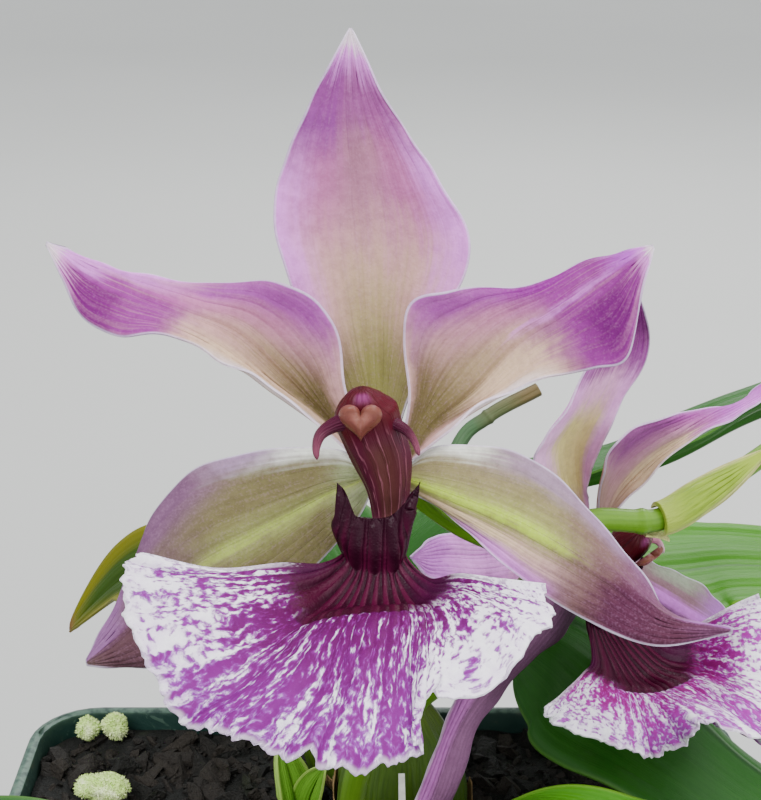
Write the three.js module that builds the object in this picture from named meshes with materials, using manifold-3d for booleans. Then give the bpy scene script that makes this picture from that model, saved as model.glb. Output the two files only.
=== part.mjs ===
// Potted zygonisia orchid: a square nursery pot of bark mix, a rhizome with pseudobulbs,
// arching leaves and one flower stem that carries two open blooms and two buds.
// Millimetres, +Z up. The origin is the middle of the pot's underside.
import * as THREE from "three";
import { mergeVertices } from "three/addons/utils/BufferGeometryUtils.js";
import Module from "manifold-3d";

const wasm = await Module();
wasm.setup();

// Driving dimensions
const POT_HEIGHT = 100;
const RIM_HALF = 60;
const RIM_TALL = 8;
const POT_TOP_HALF = 57.4;
const POT_FOOT_HALF = 44;
const POT_WALL = 2.2;
const POT_FLOOR = 3;
const POT_CORNER = 9;
const DRAIN_RADIUS = 5;
const DRAIN_OUT = 26;
const MIX_TOP = 97;
const GAP = 0.3;
const RHIZOME_RADIUS = 3.4;
const RHIZOME_Z = MIX_TOP - 2;
const TEPAL_THICK = 0.7;
const LIP_THICK = 0.66;
const CALLUS_THICK = 1.3;
const LEAF_THICK = 0.8;
const STEM_RADIUS = 1.6;
const CHIP_COUNT = 68;
const LEAN = THREE.MathUtils.degToRad(20);

const COLOURS = {
  pot: [0x17483c, 0.45], mix: [0x2b221d, 0.95], pumice: [0xa9b489, 0.9], label: [0xe9e9e4, 0.5],
  rhizome: [0x5c6a35, 0.8], bulb: [0x6d8c3c, 0.6], leaf: [0x2f7a2a, 0.5], oldLeaf: [0x7d8430, 0.6],
  stem: [0x6f9436, 0.5], bract: [0xb9c76a, 0.6], bud: [0x9fb457, 0.55], spike: [0x55803f, 0.7],
  tepal: [0xc49bc4, 0.5], lip: [0xd9b4dd, 0.5], column: [0x6b2346, 0.4], cap: [0xc79a8c, 0.5],
};

// Basic helpers

const point = (p) => new THREE.Vector3(p[0], p[1], p[2]);
const lerp = THREE.MathUtils.lerp;

function seededRandom(seed) {
  let state = seed;
  return () => {
    state = (state * 1664525 + 1013904223) % 4294967296;
    return state / 4294967296;
  };
}

/** A smooth curve through hand-chosen points, t from 0 to 1. */
function spline(points, t) {
  const last = points.length - 1;
  const at = Math.min(Math.floor(t * last), last - 1);
  const w = t * last - at;
  const get = (k) => {
    if (k < 0) return points[0].clone().multiplyScalar(2).sub(points[1]);
    if (k > last) return points[last].clone().multiplyScalar(2).sub(points[last - 1]);
    return points[k];
  };
  const [a, b, c, d] = [get(at - 1), get(at), get(at + 1), get(at + 2)];
  return new THREE.Vector3()
    .addScaledVector(a, 0.5 * (-w + 2 * w * w - w * w * w))
    .addScaledVector(b, 0.5 * (2 - 5 * w * w + 3 * w * w * w))
    .addScaledVector(c, 0.5 * (w + 4 * w * w - 3 * w * w * w))
    .addScaledVector(d, 0.5 * (-w * w + w * w * w));
}

function closedGeometry(positions, indices) {
  const geometry = new THREE.BufferGeometry();
  geometry.setAttribute("position", new THREE.Float32BufferAttribute(positions, 3));
  geometry.setIndex(indices);
  return geometry;
}

/** A thin closed blade over a surface, with triangles alike on both of its faces. */
function blade(surface, stepsU, stepsV, thickness) {
  const positions = [];
  const indices = [];
  const row = stepsV + 1;
  const layer = (stepsU + 1) * row;
  const tiny = 0.01;
  for (const side of [0.5, -0.5]) {
    for (let i = 0; i <= stepsU; i++) {
      for (let j = 0; j <= stepsV; j++) {
        const [u, v] = [i / stepsU, j / stepsV];
        const du = surface(Math.min(u + tiny, 1), v).sub(surface(Math.max(u - tiny, 0), v));
        const dv = surface(u, Math.min(v + tiny, 1)).sub(surface(u, Math.max(v - tiny, 0)));
        const normal = du.cross(dv).normalize();
        const p = surface(u, v).addScaledVector(normal, side * thickness(u, v));
        positions.push(p.x, p.y, p.z);
      }
    }
  }
  const id = (i, j, under) => i * row + j + (under ? layer : 0);
  for (let i = 0; i < stepsU; i++) {
    for (let j = 0; j < stepsV; j++) {
      const [a, b, c, d] = [[i, j], [i + 1, j], [i + 1, j + 1], [i, j + 1]];
      indices.push(id(...a), id(...b), id(...c), id(...a), id(...c), id(...d));
      indices.push(id(...a, 1), id(...c, 1), id(...b, 1), id(...a, 1), id(...d, 1), id(...c, 1));
    }
  }
  const wall = (a, b) => indices.push(id(...a), id(...a, 1), id(...b), id(...b), id(...a, 1), id(...b, 1));
  for (let i = 0; i < stepsU; i++) {
    wall([i, 0], [i + 1, 0]);
    wall([i + 1, stepsV], [i, stepsV]);
  }
  for (let j = 0; j < stepsV; j++) {
    wall([0, j + 1], [0, j]);
    wall([stepsU, j], [stepsU, j + 1]);
  }
  return closedGeometry(positions, indices);
}

/** A closed skin through rings of points, with a fan over each end ring. */
function loft(rings) {
  const sides = rings[0].length;
  const positions = [];
  const indices = [];
  rings.flat().forEach((p) => positions.push(p.x, p.y, p.z));
  for (let r = 0; r < rings.length - 1; r++) {
    for (let s = 0; s < sides; s++) {
      const [a, b] = [r * sides + s, r * sides + ((s + 1) % sides)];
      indices.push(a, b, b + sides, a, b + sides, a + sides);
    }
  }
  const last = (rings.length - 1) * sides;
  for (let s = 1; s < sides - 1; s++) {
    indices.push(0, s + 1, s);
    indices.push(last, last + s, last + s + 1);
  }
  return closedGeometry(positions, indices);
}

/** A tube along a smooth path, with a radius and a flatness that may change on the way. */
function tube(path, radius, steps, sides, flat = () => 1, front = new THREE.Vector3(0, -1, 0)) {
  const rings = [];
  for (let i = 0; i <= steps; i++) {
    const t = i / steps;
    const ahead = spline(path, Math.min(t + 0.01, 1)).sub(spline(path, Math.max(t - 0.01, 0))).normalize();
    const across = new THREE.Vector3().crossVectors(front, ahead).normalize();
    const out = new THREE.Vector3().crossVectors(ahead, across);
    const ring = [];
    for (let s = 0; s < sides; s++) {
      const angle = (2 * Math.PI * s) / sides;
      ring.push(spline(path, t)
        .addScaledVector(across, Math.cos(angle) * radius(t))
        .addScaledVector(out, Math.sin(angle) * radius(t) * flat(t)));
    }
    rings.push(ring);
  }
  return loft(rings);
}

function toSolid(geometry) {
  const plain = geometry.clone();
  plain.deleteAttribute("normal");
  plain.deleteAttribute("uv");
  const merged = mergeVertices(plain, 1e-4);
  return new wasm.Manifold(new wasm.Mesh({
    numProp: 3,
    vertProperties: new Float32Array(merged.attributes.position.array),
    triVerts: new Uint32Array(merged.index.array),
  }));
}

function fromSolid(solid) {
  const mesh = solid.getMesh();
  return closedGeometry(Array.from(mesh.vertProperties), Array.from(mesh.triVerts));
}

const plant = new THREE.Group();

function addMesh(name, geometry, colour, parent = plant) {
  const [color, roughness] = COLOURS[colour];
  const mesh = new THREE.Mesh(geometry, new THREE.MeshStandardMaterial({ color, roughness, metalness: 0 }));
  mesh.name = name;
  parent.add(mesh);
  return mesh;
}

// Pot

function squareRing(half, z, corner) {
  const ring = [];
  const perCorner = 4;
  for (let c = 0; c < 4; c++) {
    const turn = (c * Math.PI) / 2;
    for (let k = 0; k < perCorner; k++) {
      const angle = turn + (k / (perCorner - 1)) * (Math.PI / 2);
      const centre = [half - corner, half - corner];
      const [cx, cy] = [[1, 1], [-1, 1], [-1, -1], [1, -1]][c].map((sign, axis) => sign * centre[axis]);
      ring.push(new THREE.Vector3(cx + corner * Math.cos(angle), cy + corner * Math.sin(angle), z));
    }
  }
  return ring;
}

const potHalfAt = (z) => lerp(POT_FOOT_HALF, POT_TOP_HALF, z / (POT_HEIGHT - RIM_TALL));

function potGeometry() {
  const rimFoot = POT_HEIGHT - RIM_TALL;
  let solid = toSolid(loft([
    squareRing(POT_FOOT_HALF, 0, POT_CORNER), squareRing(POT_TOP_HALF, rimFoot, POT_CORNER),
    squareRing(RIM_HALF, rimFoot + 0.8, POT_CORNER + 2), squareRing(RIM_HALF, POT_HEIGHT, POT_CORNER + 2),
  ]));
  const inner = (z) => potHalfAt(z) - POT_WALL;
  solid = solid.subtract(toSolid(loft([
    squareRing(inner(POT_FLOOR), POT_FLOOR, POT_CORNER - POT_WALL),
    squareRing(inner(rimFoot), rimFoot, POT_CORNER - POT_WALL),
    squareRing(RIM_HALF - POT_WALL, rimFoot + 2, POT_CORNER),
    squareRing(RIM_HALF - POT_WALL, POT_HEIGHT + 5, POT_CORNER),
  ])));
  for (const [sx, sy] of [[1, 1], [-1, 1], [-1, -1], [1, -1]]) {
    const drain = new THREE.CylinderGeometry(DRAIN_RADIUS, DRAIN_RADIUS, POT_FLOOR * 4, 12);
    drain.rotateX(Math.PI / 2).translate(sx * DRAIN_OUT, sy * DRAIN_OUT, 0);
    solid = solid.subtract(toSolid(drain));
  }
  return fromSolid(solid);
}

// Rhizome and pseudobulbs

// Each bulb: middle x and y, height of its tip and greatest radius
const BULBS = [
  { name: "pseudobulb_lead", x: 3, y: 17, top: 126.3, radius: 9.6 },
  { name: "pseudobulb_back", x: -4, y: 38, top: 119, radius: 8.8 },
  { name: "pseudobulb_second", x: 12, y: -9, top: 123.3, radius: 9.6 },
  { name: "pseudobulb_third", x: -14, y: -22, top: 120.3, radius: 9.2 },
  { name: "pseudobulb_old", x: 26, y: -30, top: 114.6, radius: 8.2 },
];
const BULB_FOOT = RHIZOME_Z + RHIZOME_RADIUS + GAP;
const BULB_PROFILE = [[0.5, 0], [0.82, 0.12], [1, 0.38], [0.88, 0.66], [0.62, 0.86], [0.38, 1]];

function bulbRings(bulb, grow = 0) {
  const sides = 14;
  return BULB_PROFILE.map(([wide, up]) => Array.from({ length: sides }, (_, s) => {
    const angle = (2 * Math.PI * s) / sides;
    const rib = 1 + 0.05 * Math.cos((sides / 2) * angle);
    const r = wide * bulb.radius * rib + grow;
    const z = lerp(BULB_FOOT, bulb.top, up);
    return new THREE.Vector3(bulb.x + r * Math.cos(angle), bulb.y + 0.8 * r * Math.sin(angle), z);
  }));
}

const onRhizome = ([x, y]) => point([x, y, RHIZOME_Z]);
const RHIZOME_PATH = [[30, -36], [26, -30], [12, -9], [10, 5], [3, 17], [-4, 38], [-7, 45]].map(onRhizome);
const SIDE_SHOOT = [[12, -9], [-1, -16], [-14, -22], [-21, -25]].map(onRhizome);
const UP = new THREE.Vector3(0, 0, 1);

function rhizomeSolid(radius) {
  const main = toSolid(tube(RHIZOME_PATH, () => radius, 12, 10, () => 1, UP));
  return main.add(toSolid(tube(SIDE_SHOOT, () => radius * 0.96, 8, 10, () => 1, UP)));
}

// Flower stem with its flower stalks

const STEM_PATH = [
  [-5, 3, 82], [-5, 2.5, 96], [-4.5, 2, 112], [-3, 1.5, 124], [1.5, 0, 132.5], [7.9, -3.5, 140.7],
  [13.5, -7.7, 149.6], [18.2, -10.2, 157.3], [21.8, -10.1, 163.5], [26.7, -6.7, 165.3],
  [35.2, -4.9, 164.6], [41.2, -1.6, 166.4], [48.6, 2.7, 169.4], [61, 9, 176], [73, 15, 185], [82, 19, 194],
].map(point);
const stemRadius = (t) => lerp(STEM_RADIUS * 1.15, STEM_RADIUS * 0.8, t);
// The stalks start inside the stem and end in a seat behind each bloom
const STALK_A = [
  [19.6, -10, 159.6], [15.5, -13.5, 164.5], [9.5, -18.5, 169.8], [5, -20.8, 174.5], [1.6, -22.6, 178.2],
];
const STALK_B = [
  [14.9, -8.5, 151.9], [17.8, -2.5, 150.8], [20.4, 3, 150.6], [22.2, 7, 151.2], [22.5, 11.6, 152.6],
  [26.2, 14.9, 153.6],
];
const BUD_STALK = [[70.5, 13.6, 183], [74.2, 9.8, 187], [77, 6, 192]];
const stalkRadius = (t) => lerp(1.1, 1.9, t ** 2.5);

// Blooms: every point is x to the right, y away from the viewer and z up, from the bloom's middle

const BLOOM_A = {
  prefix: "bloom_front", middle: [0.5, -27.4, 180.1], turn: [0, 0, 0],
  tepals: {
    dorsal_sepal: [
      [[-1, 1.2, 2.5], [-4.8, 2.6, 9.3], [-9.4, 3.4, 18.4], [-12.6, 3.2, 27.9], [-11.4, 2.8, 35.6],
        [-8.2, 2, 42.6], [-4, 1, 50.2]],
      [[-0.1, 1.2, 2.6], [-0.9, 3.2, 9.3], [-1.4, 4.8, 18.1], [-1.7, 5.2, 27.3], [-2.6, 4.2, 35.2],
        [-3.6, 2.6, 42.6], [-3.9, 1, 50.2]],
      [[0.9, 1.2, 2.6], [3, 2.6, 9.3], [6.9, 3.4, 17.7], [9.7, 3.2, 26], [5.9, 2.8, 33.9],
        [1, 2, 40.9], [-3.7, 1, 50.2]],
    ],
    petal_left: [
      [[-1.7, 0.2, 2.9], [-4.2, -0.4, 8.9], [-5.9, -1, 17.1], [-11.1, -1.2, 21.4], [-19.5, 1.8, 21.7],
        [-27.8, 3, 22.5], [-33, 1.5, 24.3], [-37.5, -1.5, 26]],
      [[-2.3, 0.2, 2.2], [-6.7, 1.8, 6.4], [-11.9, 2.6, 11.2], [-16.9, 1.5, 15.7], [-22.4, 0, 18.1],
        [-28.6, 0.5, 20.5], [-33.4, 0, 22.7], [-37.6, -1.5, 25.8]],
      [[-3, 0.2, 1.6], [-7.5, 0.4, 5.7], [-12.9, 0.2, 9.9], [-18.2, -0.6, 13], [-23.6, -2, 15.4],
        [-29.5, -2.5, 15.6], [-33.9, -2.2, 18.1], [-37.6, -1.5, 25.6]],
    ],
    petal_right: [
      [[1.7, 0.2, 2.9], [2.7, -0.4, 8.9], [2.3, -1, 18.4], [7.4, -1.2, 20.7], [15.7, 0.5, 21.2],
        [22.2, 1.5, 23.6], [26.3, 0.5, 25], [29.6, -2, 25.6]],
      [[2.4, 0.2, 2.2], [4.9, 1.8, 6.1], [9.2, 2.6, 10.1], [14.3, 1.5, 15.4], [19.6, 0, 18.7],
        [23.7, -0.5, 21.5], [27, -1.2, 23.5], [29.7, -2, 25.4]],
      [[3, 0.2, 1.6], [6.6, 0.4, 4.4], [12, 0.2, 8.5], [17.8, -0.6, 10.9], [23.2, -2, 11.8],
        [26.7, -3, 13.1], [28.1, -2.8, 19.4], [29.8, -2, 25.1]],
    ],
    lateral_sepal_left: [
      [[-2.1, 1, 0.7], [-5.3, 2, 2.8], [-13.6, 2.4, 2.8], [-21.5, 2.6, 0.5], [-27, 2.2, -5.9],
        [-29.9, 1.2, -13.9], [-33.2, -1, -20.4]],
      [[-1.7, 1, -0.3], [-6.7, 0.6, -2.3], [-14.2, 0.2, -6.3], [-20.7, -0.2, -9.7], [-25.6, -0.6, -13.9],
        [-29.2, -1, -17.9], [-33.2, -1.2, -20.8]],
      [[-1.2, 1, -1.4], [-3.6, 0.8, -5.7], [-10.7, 1, -13], [-16.5, 1.2, -18], [-21.9, 0.8, -20.8],
        [-27.3, -0.4, -21.6], [-33.1, -1.2, -21.1]],
    ],
    lateral_sepal_right: [
      [[2.1, 1, 0.7], [5.9, 2, 3.2], [14.2, 2.4, 2.7], [21.1, 2.2, -1.8], [27.1, 1.6, -8.9],
        [32.2, 1, -15.7], [38.7, -1, -16.9]],
      [[1.7, 1, -0.3], [5.5, 0.6, -1.6], [12.3, 0.2, -4.1], [19.1, -0.4, -7.6], [25.2, -1, -11.6],
        [31.1, -1.4, -16], [38.6, -1.2, -17.2]],
      [[1.2, 1, -1.4], [5.3, 0.8, -3.2], [10, 0.6, -7], [16.2, -0.4, -12.3], [22.7, -1.6, -16.2],
        [30, -2.4, -18.8], [38.6, -1.2, -17.5]],
    ],
  },
};

const BLOOM_B = {
  prefix: "bloom_side", middle: [29.1, 11.7, 153.2], turn: [24, -26, 50],
  tepals: {
    dorsal_sepal: [
      [[-1, 1.2, 2.5], [-4.2, 2.6, 7.5], [-8.6, 3.4, 13.5], [-9.7, 2.8, 19.2], [-6.6, 2.1, 23.4],
        [-1.4, 1.6, 30.5], [5.1, 0.5, 39.3]],
      [[-0.1, 1.2, 2.6], [0.2, 3.4, 6], [0.2, 4.8, 10.5], [0.2, 5.2, 15], [2.6, 4, 21],
        [4.9, 2.4, 29], [5.6, 0.5, 39.1]],
      [[0.9, 1.2, 2.6], [2.6, 2.8, 4.5], [2.8, 3.4, 8], [4.4, 3.2, 12.2], [8.1, 2.8, 19],
        [11.4, 1.6, 26.5], [6, 0.5, 39]],
    ],
    petal_left: [
      [[-1.7, 0.2, 2.9], [-4.5, -0.2, 5.5], [-10.4, -0.8, 9.6], [-17.1, -0.6, 13], [-22, 1, 14.4],
        [-26.7, 2.4, 16.2], [-31.5, 1.2, 18.6], [-36.7, -1, 20.4]],
      [[-2.3, 0.2, 2.2], [-4.6, 1.2, 2.6], [-9, 2, 4.4], [-14.8, 1.2, 7.2], [-22.6, 0, 11.4],
        [-28.5, 0.4, 14.8], [-32.6, 0, 17.2], [-36.7, -1, 20.3]],
      [[-3, 0.2, 1.6], [-5.2, 0.4, 0.6], [-9.6, 0, 1.8], [-16.7, -0.8, 4.4], [-25, -2, 9.4],
        [-31.1, -2.4, 13.8], [-34.4, -2, 16.2], [-36.6, -1, 20.1]],
    ],
    petal_right: [
      [[1.7, 0.2, 2.9], [0.6, -0.3, 8.4], [-0.1, -1.2, 14.3], [2, -1.8, 18.2], [10, -1.2, 17.2],
        [21.3, -1.1, 13.4], [27.6, -3.3, 12.2], [30.1, -5, 15.2], [31.3, -7.5, 18.9]],
      [[2.4, 0.2, 2.2], [4.3, 1.6, 3.6], [7.6, 2, 6.6], [10.6, 0.4, 10.4], [15.1, -1.6, 12.7],
        [21.4, -3.2, 12.9], [25.4, -5, 13.9], [29.2, -6, 15.1], [31.4, -7.5, 18.7]],
      [[3, 0.2, 1.6], [4.9, 0.4, 2.4], [8.1, -0.4, 4.9], [11.7, -1.6, 8.2], [16.1, -3.6, 11.5],
        [20.7, -5.4, 13.4], [24.3, -6.6, 14.2], [28.3, -7.2, 15], [31.7, -7.5, 18.4]],
    ],
    lateral_sepal_left: [
      [[-2.1, 1, 0.7], [-4, 2, -2], [-9.2, 2.4, -3.2], [-16.9, 2.6, -6.5], [-22.7, 2.3, -10.9],
        [-28.4, 0.9, -17.3], [-34.7, -0.5, -23.4], [-39.5, -1.8, -28.8]],
      [[-1.7, 1, -0.3], [-2.8, 0.6, -4.4], [-7, 0.2, -7.4], [-13.8, -0.2, -9.8], [-20.4, -0.6, -12],
        [-26.4, -0.6, -16.4], [-32.5, -2.1, -23.9], [-39.5, -2, -29.5]],
      [[-1.2, 1, -1.4], [-0.6, 0.8, -6.5], [-0.5, 1, -12.5], [-4.8, 1.2, -15.4], [-12.8, 0.9, -15.9],
        [-21.5, -0.1, -18.8], [-28.8, -2.3, -26.4], [-39.3, -2, -30.2]],
    ],
    lateral_sepal_right: [
      [[2.1, 1, 0.7], [7, 2, -4], [13.9, 1, -11.1], [19.6, -1, -15.3], [24.3, -4, -20.1],
        [26.3, -7.5, -23.6], [28.8, -11, -28.7]],
      [[1.7, 1, -0.3], [4.4, 0.6, -4.6], [9.2, -0.8, -10.9], [14, -3.2, -16.2], [18.3, -6.4, -20.8],
        [22.4, -9, -24.6], [28.5, -11.3, -28.9]],
      [[1.2, 1, -1.4], [2.9, 0.8, -6.5], [7.3, -0.4, -13.9], [12.6, -2.6, -20], [17.1, -6.4, -24.6],
        [21.6, -9.4, -27.2], [28.2, -11.6, -29.1]],
    ],
  },
};

// Each lip is a fan of rays, from the left lobe round the middle lobe to the right lobe.
// A ray runs from the raised callus down over the throat and its crest to the frilled margin.
const CALLUS = [
  [[-5.2, -6.4, -0.5], [-5.2, -6, -4.6], [-4.3, -4, -7.8]],
  [[-4.3, -6.3, -1.5], [-5, -5.9, -5.4], [-4.4, -4.2, -8.7]],
  [[-3.4, -5.9, -3.9], [-3.7, -5.7, -6.9], [-3.5, -4.6, -10]],
  [[-2.5, -5.8, -4.3], [-2.7, -5.6, -7.3], [-2.7, -4.8, -10.5]],
  [[-1.5, -5.7, -4.4], [-1.6, -5.6, -7.6], [-1.8, -5, -10.7]],
  [[-0.4, -5.7, -4.4], [-0.6, -5.6, -7.7], [-0.7, -5, -10.8]],
  [[0.5, -5.8, -4.2], [0.5, -5.6, -7.6], [0.4, -5, -10.7]],
  [[1.3, -5.9, -3.6], [1.2, -5.7, -7.1], [1.1, -4.8, -10.4]],
  [[3, -6.3, -1.8], [2.1, -5.9, -5.6], [1.9, -4.4, -9.2]],
  [[3.8, -6.4, -0.4], [2.4, -6, -4.5], [2.2, -4.2, -8.3]],
];
const LIP_A = [
  [[-6.8, -6, -9.2], [-11.2, -8.5, -9], [-18.2, -11, -9.5], [-25.7, -11.5, -8]],
  [[-7.2, -6.8, -10.8], [-11.1, -10, -11.5], [-18.9, -13.5, -11.6], [-27.4, -14, -10.9]],
  [[-6.1, -7.6, -13.3], [-9.1, -12.5, -15], [-15.4, -19, -17.8], [-22.7, -20.5, -20.7]],
  [[-4.6, -8, -13.9], [-6.6, -13.5, -14.5], [-11.3, -21.5, -19.4], [-17, -23.5, -24.2]],
  [[-2.9, -8.2, -14.1], [-3.7, -14.2, -13.9], [-6.6, -23, -20.1], [-10.7, -26, -25.6]],
  [[-0.9, -8.2, -14.2], [-0.7, -14.6, -13.6], [-2.3, -24, -20.4], [-3.9, -28, -27.5]],
  [[1.2, -8.2, -14.1], [2.3, -14.2, -13.5], [2.2, -23.5, -20], [2.7, -27, -25.5]],
  [[3.1, -8, -13.7], [4.6, -13.2, -13.5], [5.1, -21.5, -17.6], [3.8, -24.5, -20.6]],
  [[4.8, -7, -11.9], [7.5, -10.5, -11.9], [12.1, -15, -13.4], [16, -17, -15.4]],
  [[4.8, -6.4, -10.8], [8, -9, -10.1], [12.3, -12, -10.4], [16.9, -13, -10.8]],
];
const LIP_B = [
  [[-8.1, -8, -10.4], [-11.9, -9.5, -9.5], [-19.2, -12, -6.4], [-25.6, -14, -3.8]],
  [[-7.5, -8.5, -11.2], [-12, -10.5, -9.8], [-19.1, -13.5, -7.2], [-24.7, -15.5, -5.5]],
  [[-4.7, -9.5, -14.3], [-7.9, -13, -13.1], [-12.1, -17.5, -13.3], [-14.2, -20, -15.2]],
  [[-2.5, -10, -15.8], [-5.2, -14.5, -14.6], [-9.1, -20.5, -13.2], [-9.9, -24, -15.1]],
  [[-0.3, -10.5, -17.2], [-1.9, -15.5, -15.9], [-6.3, -23, -10.4], [-8.6, -28, -7.2]],
  [[1.4, -11, -17.1], [0.7, -16.5, -15.9], [-2, -25, -12.8], [-1.5, -32, -14.6]],
  [[3.2, -11, -17.4], [4.2, -16.5, -16.8], [0.9, -26, -11.9], [2.8, -33.5, -14.9]],
  [[5.3, -10.5, -17.8], [8.1, -15.5, -18], [4.6, -25, -11.8], [7.7, -31, -14.2]],
  [[7.3, -9, -16.6], [12.1, -12, -17.2], [13.6, -18, -12.7], [18, -22, -12.5]],
  [[7.8, -8, -16.2], [12, -10.5, -15.7], [14.6, -14, -11.7], [18.1, -17, -8.9]],
];
// Where the front lip's margin reaches further out, or is notched: place round it, spread and reach
BLOOM_A.reaches = [
  [0.489, 0.014, -1.9], [0.61, 0.02, -1.2], [0.715, 0.024, 1.3], [0.776, 0.014, -0.9], [0.834, 0.03, 2.4],
];
BLOOM_B.reaches = [];
BLOOM_A.lip = CALLUS.map((ray, k) => [...ray, ...LIP_A[k]]);
BLOOM_B.lip = CALLUS.map((ray, k) => [...ray, ...LIP_B[k]]);

// The column stands in the middle and leans forward over the lip
const COLUMN_PATH = [
  [0, -3.7, -7.6], [0.5, -2.4, -4.4], [0.4, -3.2, -1.2], [-0.2, -4.8, 1.9], [-1.2, -6.6, 4.6],
  [-2.1, -8.2, 7.1], [-2.4, -9.2, 8.6], [-2.5, -9.8, 9.7],
].map(point);
const COLUMN_HALF_WIDTHS = [1.4, 1.9, 2.4, 3.2, 3.4, 3.6, 2.2, 0.8];
const COLUMN_HALF_DEPTHS = [0.8, 1.3, 2, 2.3, 2.5, 2.6, 2.1, 0.8];
const COLUMN_ROOT = [[0.1, -2.6, 0.5], [0, -0.4, 0.6], [0, 1.7, 0.6]].map(point);
const HOOKS = [
  [[-3.5, -8.6, 6.2], [-5.3, -9.3, 5.8], [-6.8, -9.9, 4.8], [-7.3, -10.2, 3.4], [-7.2, -10.4, 2.1]],
  [[0.9, -8.4, 6], [2.2, -9, 5.2], [3.1, -9.4, 4], [3.6, -9.7, 2.5]],
];
const HOOK_RADII = [1.05, 0.7];
const CAP = { middle: [-2.6, -11, 6.3], halfWidth: 2.3, halfHeight: 2.2, slope: 0.68, rise: 1.3 };
const SEAT_RADIUS = 3.2;
const SEAT_FRONT = 2;
const SEAT_BACK = 4.4;

/** Blends the three rails of a tepal: left edge, middle and right edge. */
function tepalSurface(rails) {
  const [left, middle, right] = rails.map((rail) => rail.map(point));
  return (u, v) => {
    const w = 2 * v - 1;
    return spline(left, u).multiplyScalar((w * w - w) / 2)
      .addScaledVector(spline(middle, u), 1 - w * w)
      .addScaledVector(spline(right, u), (w * w + w) / 2);
  };
}

function lipSurface({ lip, reaches }) {
  const lines = lip.map((ray) => ray.map(point));
  const ray = (u, v) => spline(lines.map((line) => spline(line, u)), v);
  const waves = 6;
  const waveHeight = 0.7;
  return (u, v) => {
    const p = ray(u, v);
    const away = p.clone().sub(ray(u - 0.02, v)).normalize();
    const bump = ([at, spread, far]) => far * Math.exp(-(((v - at) / spread) ** 2));
    const reach = reaches.reduce((sum, one) => sum + bump(one), 0);
    p.addScaledVector(away, reach * THREE.MathUtils.smoothstep(u, 0.72, 1) ** 2);
    const wave = waveHeight * Math.max(0, (u - 0.6) / 0.4) ** 2 * Math.sin(waves * 2 * Math.PI * v);
    return p.add(new THREE.Vector3(0, -0.6 * wave, 0.8 * wave));
  };
}

function columnGeometry() {
  const last = COLUMN_PATH.length - 1;
  const pick = (list) => (t) => {
    const at = Math.min(Math.floor(t * last), last - 1);
    return lerp(list[at], list[at + 1], t * last - at);
  };
  const [wide, deep] = [pick(COLUMN_HALF_WIDTHS), pick(COLUMN_HALF_DEPTHS)];
  let solid = toSolid(tube(COLUMN_PATH, wide, 10, 12, (t) => deep(t) / wide(t)));
  solid = solid.add(toSolid(tube(COLUMN_ROOT, () => 0.8, 3, 8, () => 1, UP)));
  HOOKS.forEach((hook, k) => {
    solid = solid.add(toSolid(tube(hook.map(point), (t) => lerp(HOOK_RADII[k], 0.25, t), 5, 6)));
  });
  return fromSolid(solid);
}

/** The heart-shaped anther cap: rings that shrink as they rise from the column's sloped face. */
function capGeometry() {
  const sides = 14;
  const rings = [[1, 0], [0.94, 0.5], [0.7, 0.85], [0.3, 1]].map(([size, up]) =>
    Array.from({ length: sides }, (_, s) => {
      const a = (-2 * Math.PI * s) / sides;
      const heart = (13 * Math.cos(a) - 5 * Math.cos(2 * a) - 2 * Math.cos(3 * a)
        - Math.cos(4 * a)) / 16;
      const x = CAP.halfWidth * size * Math.sin(a) ** 3;
      const z = CAP.halfHeight * size * heart;
      return point([CAP.middle[0] + x, CAP.middle[1] - CAP.slope * z - CAP.rise * up, CAP.middle[2] + z]);
    }));
  return loft(rings);
}

function addBloom(bloom) {
  const tilt = new THREE.Group();
  tilt.position.fromArray(bloom.middle);
  tilt.rotation.x = -LEAN;
  const [x, y, z] = bloom.turn.map(THREE.MathUtils.degToRad);
  const frame = new THREE.Group();
  frame.rotation.set(x, y, z, "ZXY");
  tilt.add(frame);
  plant.add(tilt);
  for (const [name, rails] of Object.entries(bloom.tepals)) {
    const thick = (u) => lerp(TEPAL_THICK, 0.62, u);
    addMesh(`${bloom.prefix}_${name}`, blade(tepalSurface(rails), 12, 6, thick), "tepal", frame);
  }
  const lipThick = (u) => lerp(CALLUS_THICK, LIP_THICK, THREE.MathUtils.smoothstep(u, 0.25, 0.5));
  addMesh(`${bloom.prefix}_lip`, blade(lipSurface(bloom), 11, 22, lipThick), "lip", frame);
  addMesh(`${bloom.prefix}_column`, columnGeometry(), "column", frame);
  addMesh(`${bloom.prefix}_anther_cap`, capGeometry(), "cap", frame);
}

/** The disc behind a bloom, in the plant's own frame, that its petals grow from. */
function seatSolid(bloom) {
  const disc = new THREE.CylinderGeometry(SEAT_RADIUS, SEAT_RADIUS * 0.55, SEAT_BACK - SEAT_FRONT, 14);
  const [x, y, z] = bloom.turn.map(THREE.MathUtils.degToRad);
  const turn = new THREE.Matrix4().makeRotationX(-LEAN)
    .multiply(new THREE.Matrix4().makeRotationFromEuler(new THREE.Euler(x, y, z, "ZXY")));
  disc.rotateX(Math.PI).translate(0, (SEAT_FRONT + SEAT_BACK) / 2, 0);
  disc.applyMatrix4(turn).translate(...bloom.middle);
  return toSolid(disc);
}

function flowerStemGeometry() {
  let solid = toSolid(tube(STEM_PATH, stemRadius, 45, 8));
  for (const [stalk, bloom] of [[STALK_A, BLOOM_A], [STALK_B, BLOOM_B]]) {
    solid = solid.add(toSolid(tube(stalk.map(point), stalkRadius, 10, 8, () => 1, UP)));
    solid = solid.add(seatSolid(bloom));
  }
  solid = solid.add(toSolid(tube(BUD_STALK.map(point), () => 1, 4, 8)));
  return fromSolid(solid);
}

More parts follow.
